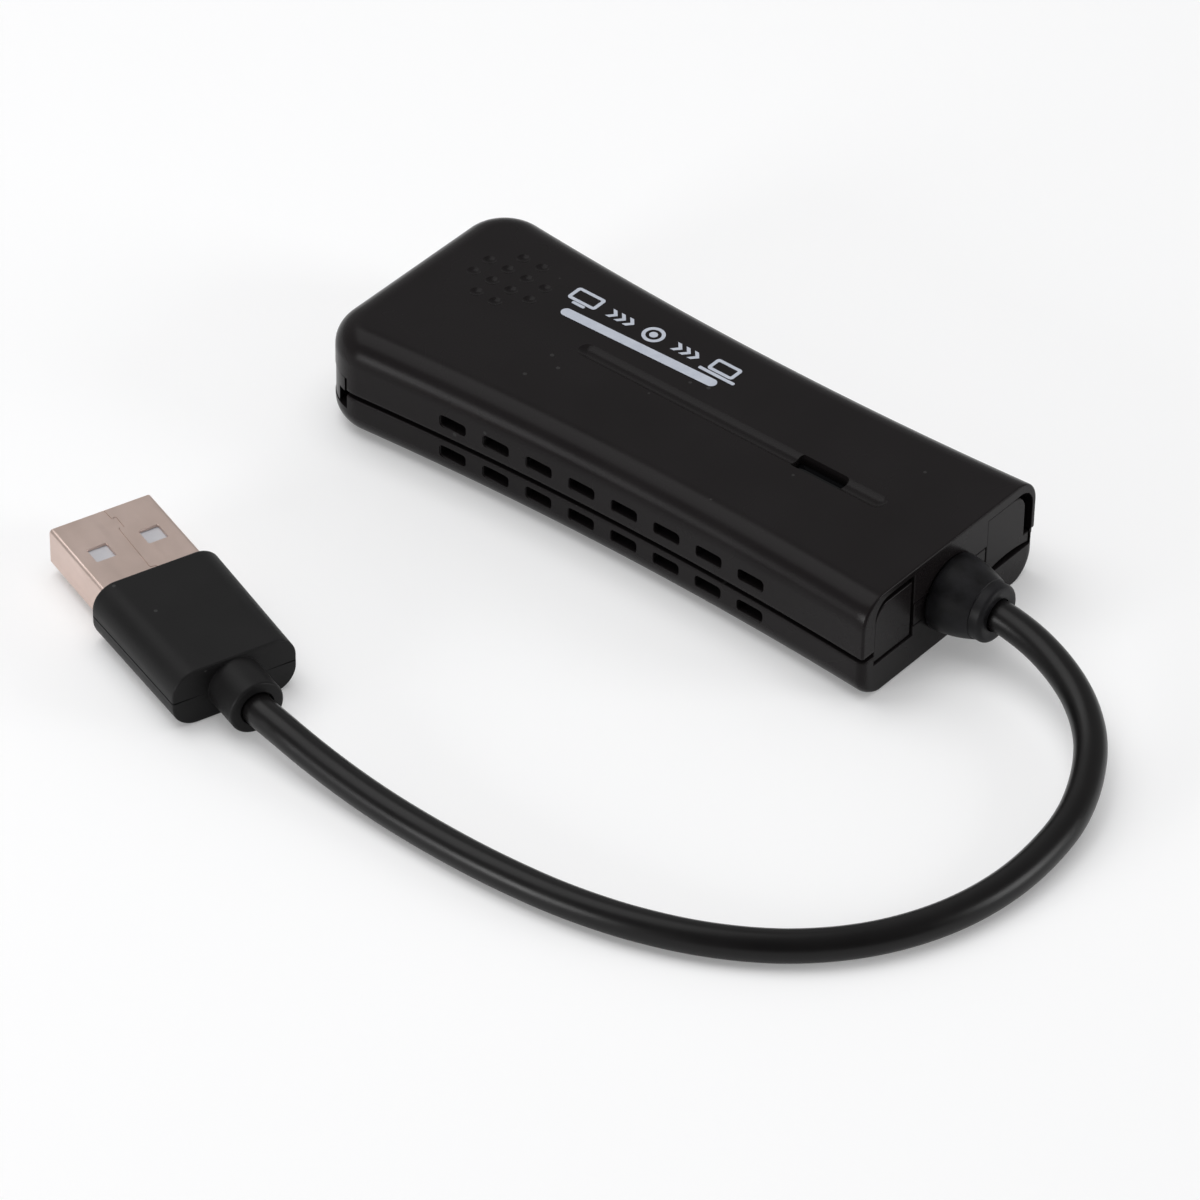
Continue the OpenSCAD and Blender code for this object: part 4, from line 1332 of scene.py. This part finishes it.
@dataclass
class PrintedMarks:
    """Thin print on the top face: a bar, and a row of plain signs from a screen to a portable computer."""

    top_z: float = 12.8
    thick: float = 0.02
    sunk: float = 0.02
    bar_from: Pair = (-18.35, 3.63)
    bar_to: Pair = (2.26, 4.27)
    bar_w: float = 1.3
    bar_end_r: float = 0.649
    bar_steps: int = 14
    stroke: float = 0.42
    row_y: float = 6.65
    monitor: ScreenSign = ScreenSign(-17.6, (1.9, 1.12), 0.22, (0.85, 0.2), -1.2)
    computer: ScreenSign = ScreenSign(1.3, (1.7, 1.05), 0.3, (2.4, 0.22), -1.12)
    screen_rs: Pair = (0.4, 0.12)
    screen_steps: int = 6
    foot_r: float = 0.15
    foot_steps: int = 5
    chevron_xs: Pair = (-14.3, -5.4)
    chevron_n: int = 3
    chevron_pitch: float = 1.15
    chevron_half_h: float = 0.72
    chevron_w: float = 0.525
    chevron_tip: float = 0.62
    record_x: float = -8.2
    record_r: float = 1.3
    record_steps: int = 48
    dot_r: float = 0.48
    dot_steps: int = 32

    def print_on(self, outline: np.ndarray) -> Surface:
        """Carries an anticlockwise outline in X and Y up through the face to the thickness of the ink."""
        return carried(outline, Axis.Z, [self.top_z - self.sunk, self.top_z + self.thick])

    def bar(self) -> Surface:
        """Straight bar with round ends, turned to run from one end to the other.

        Returns:
            The closed surface.
        """
        a, b = np.array(self.bar_from), np.array(self.bar_to)
        length = float(np.linalg.norm(b - a))
        along = (b - a) / length
        flat = rounded_loop(length / 2, self.bar_w / 2, self.bar_end_r, self.bar_steps)
        return self.print_on(flat @ np.array([along, [-along[1], along[0]]]) + (a + b) / 2)

    def ring(self, outer: np.ndarray, inner: np.ndarray) -> list[Surface]:
        """Ring between two loops of as many points, as two halves that meet.

        Args:
            outer: its anticlockwise outline.
            inner: the outline of its hole.

        Returns:
            Two closed surfaces.
        """
        half = len(outer) // 2
        picks = [(np.arange(half + 1) + start) % len(outer) for start in (0, half)]
        return [self.print_on(np.concatenate([outer[pick], inner[pick][::-1]])) for pick in picks]

    def screen(self, sign: ScreenSign) -> list[Surface]:
        """A screen: a ring between two rounded rectangles, and a foot under it.

        Args:
            sign: its place and sizes.

        Returns:
            Closed surfaces.
        """
        (half_w, half_h), (outer_r, inner_r), line = sign.half, self.screen_rs, self.stroke
        place = [sign.x, self.row_y + sign.rise]
        outer = rounded_loop(half_w, half_h, outer_r, self.screen_steps) + place
        inner = rounded_loop(half_w - line, half_h - line, inner_r, self.screen_steps) + place
        foot = rounded_loop(*sign.foot_half, self.foot_r, self.foot_steps) + [sign.x, self.row_y + sign.foot_rise]
        return [*self.ring(outer, inner), self.print_on(foot)]

    def chevrons(self, x: float) -> list[Surface]:
        """Arrow heads in a row, each a bent stroke.

        Args:
            x: place of the first one.

        Returns:
            One closed surface for each.
        """
        w, h, tip = self.chevron_w, self.chevron_half_h, self.chevron_tip
        shape = np.array([[0, -h], [w, -h], [w + tip, 0], [w, h], [0, h], [tip, 0]]) + [x, self.row_y]
        return [self.print_on(shape + [self.chevron_pitch * k, 0]) for k in range(self.chevron_n)]

    def record_sign(self) -> list[Surface]:
        """Ring with a dot in it.

        Returns:
            Closed surfaces.
        """
        x, y, r = self.record_x, self.row_y, self.record_r
        turn = whole_turn(self.record_steps)
        ring = self.ring(arc(x, y, r, turn), arc(x, y, r - self.stroke, turn))
        return [*ring, self.print_on(arc(x, y, self.dot_r, whole_turn(self.dot_steps)))]

    def build(self) -> None:
        """Builds the marks and dresses them."""
        first, second = (self.chevrons(x) for x in self.chevron_xs)
        signs = [*self.screen(self.monitor), *first, *self.record_sign(), *second, *self.screen(self.computer)]
        for name, surface in (("printed_bar", self.bar()), ("printed_signs", Surface.joined(signs))):
            settle(new_piece(name, surface), INK, "casing_plastic")


@dataclass
class StrainRelief:
    """Boot moulded on the cord: a profile turned about the cord's axis."""

    near_x: float = 37
    axis_z: float = 6.2
    neck_r: float = 3.5
    neck_l: float = 1.9
    base_r: float = 4.4
    base_gap: float = 0.1
    base_edge_r: float = 0.15
    taper_l: float = 4.7
    taper_r: float = 3.42
    curve: float = 1.8
    step_l: float = 0.06
    collar_r: float = 3.3
    tip: float = 6.3
    tip_r: float = 0.55
    hole_r: float = 1.86
    mouth: tuple[Pair, ...] = ((0, 0.12), (0.05, 0.03), (0.15, 0), (0.5, 0))
    edge_steps: int = 5
    taper_steps: int = 24
    tip_steps: int = 10
    turn_steps: int = 72
    crease: float = 40

    def build(self) -> Object:
        """Builds the boot: neck in the wall, swelling taper, fine step, collar with a round end, hollow for the cord.

        Returns:
            The boot.
        """
        edge_x, edge_in = quarter(self.base_edge_r, self.edge_steps)
        base = np.stack([self.base_gap + edge_x, self.base_r - edge_in], axis=-1)
        t = np.linspace(0, 1, self.taper_steps)[1:]
        taper = np.stack([self.base_gap + self.base_edge_r + (self.taper_l - self.base_edge_r) * t,
                          self.base_r - (self.base_r - self.taper_r) * t**self.curve], axis=-1)
        turn = np.linspace(QUARTER, 0, self.tip_steps)
        end = arc(self.tip - self.tip_r, self.collar_r - self.tip_r, self.tip_r, turn)
        profile = np.concatenate([
            [[-self.neck_l, self.neck_r], [self.base_gap, self.neck_r]], base, taper,
            [[self.base_gap + self.taper_l + self.step_l, self.collar_r]], end,
            np.array(self.mouth) * [-1, 1] + [self.tip, self.hole_r]])
        skin = revolved(profile + [self.near_x, 0], (0, 0, self.axis_z), Axis.X, self.turn_steps)
        boot = new_piece("strain_relief_boot", skin)
        shade(boot, self.crease)
        settle(boot, BOOT, "cord_jacket", "strain_relief")
        return boot


@dataclass
class DataCord:
    """Captive cord: a round section carried along one smooth curve from the boot to the plug's neck."""

    plug: PlugPlace
    boot_tip: Triple = (43.3, 0, 6.2)
    diameter: float = 3.5
    sides: int = 36
    per_span: int = 14
    entry: float = 0.45
    crease: float = 60
    route: tuple[Triple, ...] = (
        (3, -0.2, 6), (8, -1.3, 5.4), (13, -3.5, 4.5), (17.2, -7, 3.7), (20.2, -11.5, 3), (22.2, -16.6, 2.4),
        (23.1, -22.6, 2), (23, -29, 1.8), (21.5, -36.1, 1.8), (18.1, -43.1, 1.8), (12.7, -49.3, 1.8),
        (6, -53.9, 1.8), (-1, -56.9, 1.8), (-8.4, -58.8, 1.8), (-16.4, -59.8, 1.8), (-25, -60.1, 1.8),
        (-33.5, -59.9, 2), (-41, -59.4, 2.6), (-46, -58.9, 3.2))

    def build(self) -> tuple[Object, np.ndarray]:
        """Builds the cord: at each point of the path a circle square to it, level across and upright.

        Returns:
            The cord and its path in millimetres.
        """
        ends = np.stack([[1.0, 0, 0], -self.plug.direction()])
        points = np.array(self.route) + [self.boot_tip[0], 0, 0]
        path = smooth_path(np.concatenate([[self.boot_tip], points, [self.plug.neck_end]]), self.per_span, ends)
        along = np.gradient(path, axis=0)
        along[[0, -1]] = ends
        along /= np.linalg.norm(along, axis=1, keepdims=True)
        line = np.concatenate([[path[0] - self.entry * along[0]], path[1:-1], [path[-1] + self.entry * along[-1]]])
        across = np.cross(along, [0, 0, 1])
        across /= np.linalg.norm(across, axis=1, keepdims=True)
        upright = np.cross(across, along)
        a = whole_turn(self.sides)[None, :, None]
        rings = line[:, None] + self.diameter / 2 * (np.cos(a) * across[:, None] + np.sin(a) * upright[:, None])
        cord = new_piece("data_cord", loft(rings))
        shade(cord, self.crease)
        settle(cord, RUBBER, "cord_jacket", "cord")
        return cord, line


@dataclass
class PlugGrip:
    """Moulded grip: rounded sections carried along the plug, with a parting line, a crisp rear edge and a neck."""

    plug: PlugPlace
    front: float = 11.9
    length: float = 17
    front_half_w: float = 7.5
    rear_half_w: float = 7.2
    half_h: float = 3.45
    edge_r: float = 2.8
    front_edge_r: float = 0.5
    rear_edge_r: float = 0.22
    support: float = 0.35
    line_half_w: float = 0.1
    line_depth: float = 0.12
    neck_r: float = 3.1
    neck_l: float = 4.7
    neck_root: tuple[Pair, ...] = ((0, 0.08), (0.03, 0.02), (0.1, 0))
    neck_edge_r: float = 0.3
    hole_r: float = 1.88
    mouth: tuple[Pair, ...] = ((0, 0.1), (0.1, 0), (0.5, 0))
    pocket: Triple = (6.04, 2.29, 0.49)
    pocket_l: float = 7
    corner_steps: int = 18
    front_steps: int = 9
    rear_steps: int = 6
    pocket_steps: int = 7
    crease: float = 36

    def sections(self, rows: np.ndarray) -> np.ndarray:
        """Rounded sections with three points at each side for the parting line.

        Args:
            rows: rows of (x, half width, half height, corner radius, line half width, line depth, line shift in x).

        Returns:
            Array of sections by points by three.
        """
        x, w, h, r, line, deep, shift = rows.T
        loop = rounded_loop(w, h, r, self.corner_steps)
        n = loop.shape[1] // 2
        right = np.stack([np.stack([w, -line], -1), np.stack([w - deep, 0 * w], -1), np.stack([w, line], -1)], axis=1)
        flat = np.concatenate([right, loop[:, :n], -right, loop[:, n:]], axis=1)
        along = np.repeat(x[:, None], flat.shape[1], axis=1)
        along[:, [1, n + 4]] -= shift[:, None]
        return Axis.X.place(along, flat)

    def bar(self, x: np.ndarray, inset: np.ndarray, shift: np.ndarray) -> np.ndarray:
        """Sections of the bar: its half width falls evenly from the front to the rear, less the edge's inset.

        Args:
            x: places along the plug.
            inset: how far each section is drawn in.
            shift: how far the parting line's bottom lies before the section.

        Returns:
            Rows for the sections.
        """
        along = (x - self.front) / self.length
        half = self.front_half_w + (self.rear_half_w - self.front_half_w) * along - inset
        ones = np.ones_like(x)
        return np.stack([x, half, self.half_h - inset, self.edge_r - inset, self.line_half_w * ones,
                         self.line_depth * ones, shift], axis=-1)

    def rows(self) -> np.ndarray:
        """Sections round the front edge, along the bar, over the rear edge and down the neck.

        Returns:
            Rows for the sections.
        """
        rear = self.front + self.length
        front_d, front_in = quarter(self.front_edge_r, self.front_steps)
        rear_d, rear_in = (v[::-1] for v in quarter(self.rear_edge_r, self.rear_steps))
        middle = [self.front + self.front_edge_r + self.support, (self.front + rear) / 2,
                  rear - self.rear_edge_r - self.support]
        level = np.zeros(len(middle))
        bar = self.bar(np.concatenate([self.front + front_d, middle, rear - rear_d]),
                       np.concatenate([front_in, level, rear_in]),
                       np.concatenate([0 * front_d, level, self.line_depth * np.linspace(0, 1, self.rear_steps)]))
        end = rear + self.neck_l
        turn, tuck = (v[::-1] for v in quarter(self.neck_edge_r, self.rear_steps))
        x, r = np.concatenate([
            np.array(self.neck_root) + [rear, self.neck_r],
            np.stack([end - turn, self.neck_r - tuck], axis=-1),
            np.array(self.mouth) * [-1, 1] + [end, self.hole_r]]).T
        shift = np.where(np.arange(len(x)) == 0, self.line_depth, 0)
        return np.concatenate([bar, np.stack([x, r, r, r, 0 * x, 0 * x, shift], axis=-1)])

    def build(self) -> Object:
        """Builds the grip and cuts the pocket that the metal shell sits in.

        Returns:
            The grip.
        """
        grip = new_piece("plug_moulded_grip", self.plug.world(loft(self.sections(self.rows()))))
        shape = rounded_loop(*self.pocket, self.pocket_steps)
        hole = carried(shape, Axis.X, [self.front - 2 * OVER, self.front + self.pocket_l])
        carve(grip, [self.plug.world(hole)])
        shade(grip, self.crease)
        settle(grip, GRIP, "cord_jacket", "plug_grip")
        return grip


@dataclass
class PlugShell:
    """Folded metal shell: a rounded tube with windows, and the joint of the sheet along the top."""

    plug: PlugPlace
    half_w: float = 6
    half_h: float = 2.25
    corner_r: float = 0.45
    inner_r: float = 0.15
    sheet: float = 0.3
    length: float = 18.9
    front_edge: tuple[Pair, ...] = (
        (0.6, 0), (0.12, 0), (0.06, 0.012), (0.02, 0.05), (0, 0.11), (0, 0.2), (0.02, 0.26), (0.08, 0.29), (0.2, 0.3))
    corner_steps: int = 9
    window: float = 2.3
    window_r: float = 0.14
    window_steps: int = 5
    window_at: float = 4.9
    window_y: float = 3.05
    window_flare: Flare = Flare((-1, -0.007, 0.02, 0.06, 0.6), (0.05, 0.05, 0.02, 0, 0))
    joint_half_w: float = 0.04
    joint_depth: float = 0.09
    joint_bend: float = 0.14
    joint_over: float = 0.3
    crease: float = 34
    joints: tuple[tuple[Pair, ...], ...] = (
        ((-0.3, 0.4), (1.75, 0.45)),
        ((1.86, 0.6), (1.6, 0.7), (1.62, 1.0), (3.5, 0.95)),
        ((3.42, 0.5), (3.6, 0.33), (10.65, 0.14), (10.75, 0.8), (12.6, 1.15)))

    def tube(self) -> Surface:
        """Walls of the tube: rounded sections along the outside, round the front edge and back inside.

        Returns:
            The closed surface.
        """
        x, inset = np.array([(self.length, 0), *self.front_edge, (self.length, self.sheet)]).T
        r = np.maximum(self.corner_r - inset, self.inner_r)
        flat = rounded_loop(self.half_w - inset, self.half_h - inset, r, self.corner_steps)
        return self.plug.world(loft(Axis.X.place(x[:, None], flat), closed_rows=True))

    def windows(self) -> list[Surface]:
        """Two square windows through the top and the bottom, with fine round edges.

        Returns:
            One closed surface for each window.
        """
        half = self.window / 2
        square = rounded_loop(half, half, self.window_r, self.window_steps) + [self.window_at + half, 0]
        return [self.plug.world(self.window_flare.tool(square + [0, y], Axis.Z, side * self.half_h, side))
                for y in (-self.window_y, self.window_y) for side in (1, -1)]

    def joint_lines(self) -> list[Surface]:
        """Fine grooves where the sheet meets itself: straight runs with eased corners, sunk into the top.

        Returns:
            One closed surface for each groove.
        """
        strokes = [stroke_outline(np.array(run), self.joint_half_w, self.joint_bend) for run in self.joints]
        levels = [self.half_h - self.joint_depth, self.half_h + self.joint_over]
        return [self.plug.world(carried(stroke, Axis.Z, levels)) for stroke in strokes]

    def build(self) -> Object:
        """Builds and dresses the shell.

        Returns:
            The shell.
        """
        shell = new_piece("plug_folded_shell", self.tube())
        carve(shell, self.windows())
        carve(shell, self.joint_lines())
        shade(shell, self.crease)
        settle(shell, NICKEL, "plug_metal", "plug_shell")
        return shell


@dataclass
class CarriedSolids:
    """Solids of the frame that keep their own shape: they get the finish of their slot in the record."""

    def build(self) -> None:
        """Dresses every solid of the frame."""
        slots = {row["node"]: row["material_slot"] for row in frame["record"]["subparts"]}
        for name, node in frame["nodes"].items():
            INNER_FINISHES[slots[name]].dress(node)
        log.info("%d solids dressed", len(frame["nodes"]))


def main() -> None:
    """Builds the stage and the pieces in order."""
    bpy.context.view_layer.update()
    StudioStage().build()
    plug = PlugPlace()
    CarriedSolids().build()
    cord_maker = DataCord(plug)
    cord, path = cord_maker.build()
    boot = StrainRelief().build()
    grip = PlugGrip(plug).build()
    shell = PlugShell(plug).build()
    casing = CasingShells()
    for assembly in (casing, EndPanels(casing), PortPanel(casing), LightPipe(casing), PrintedMarks()):
        assembly.build()


if __name__ == "__main__":
    logging.basicConfig(level=logging.INFO, format="%(name)s: %(message)s")
    main()
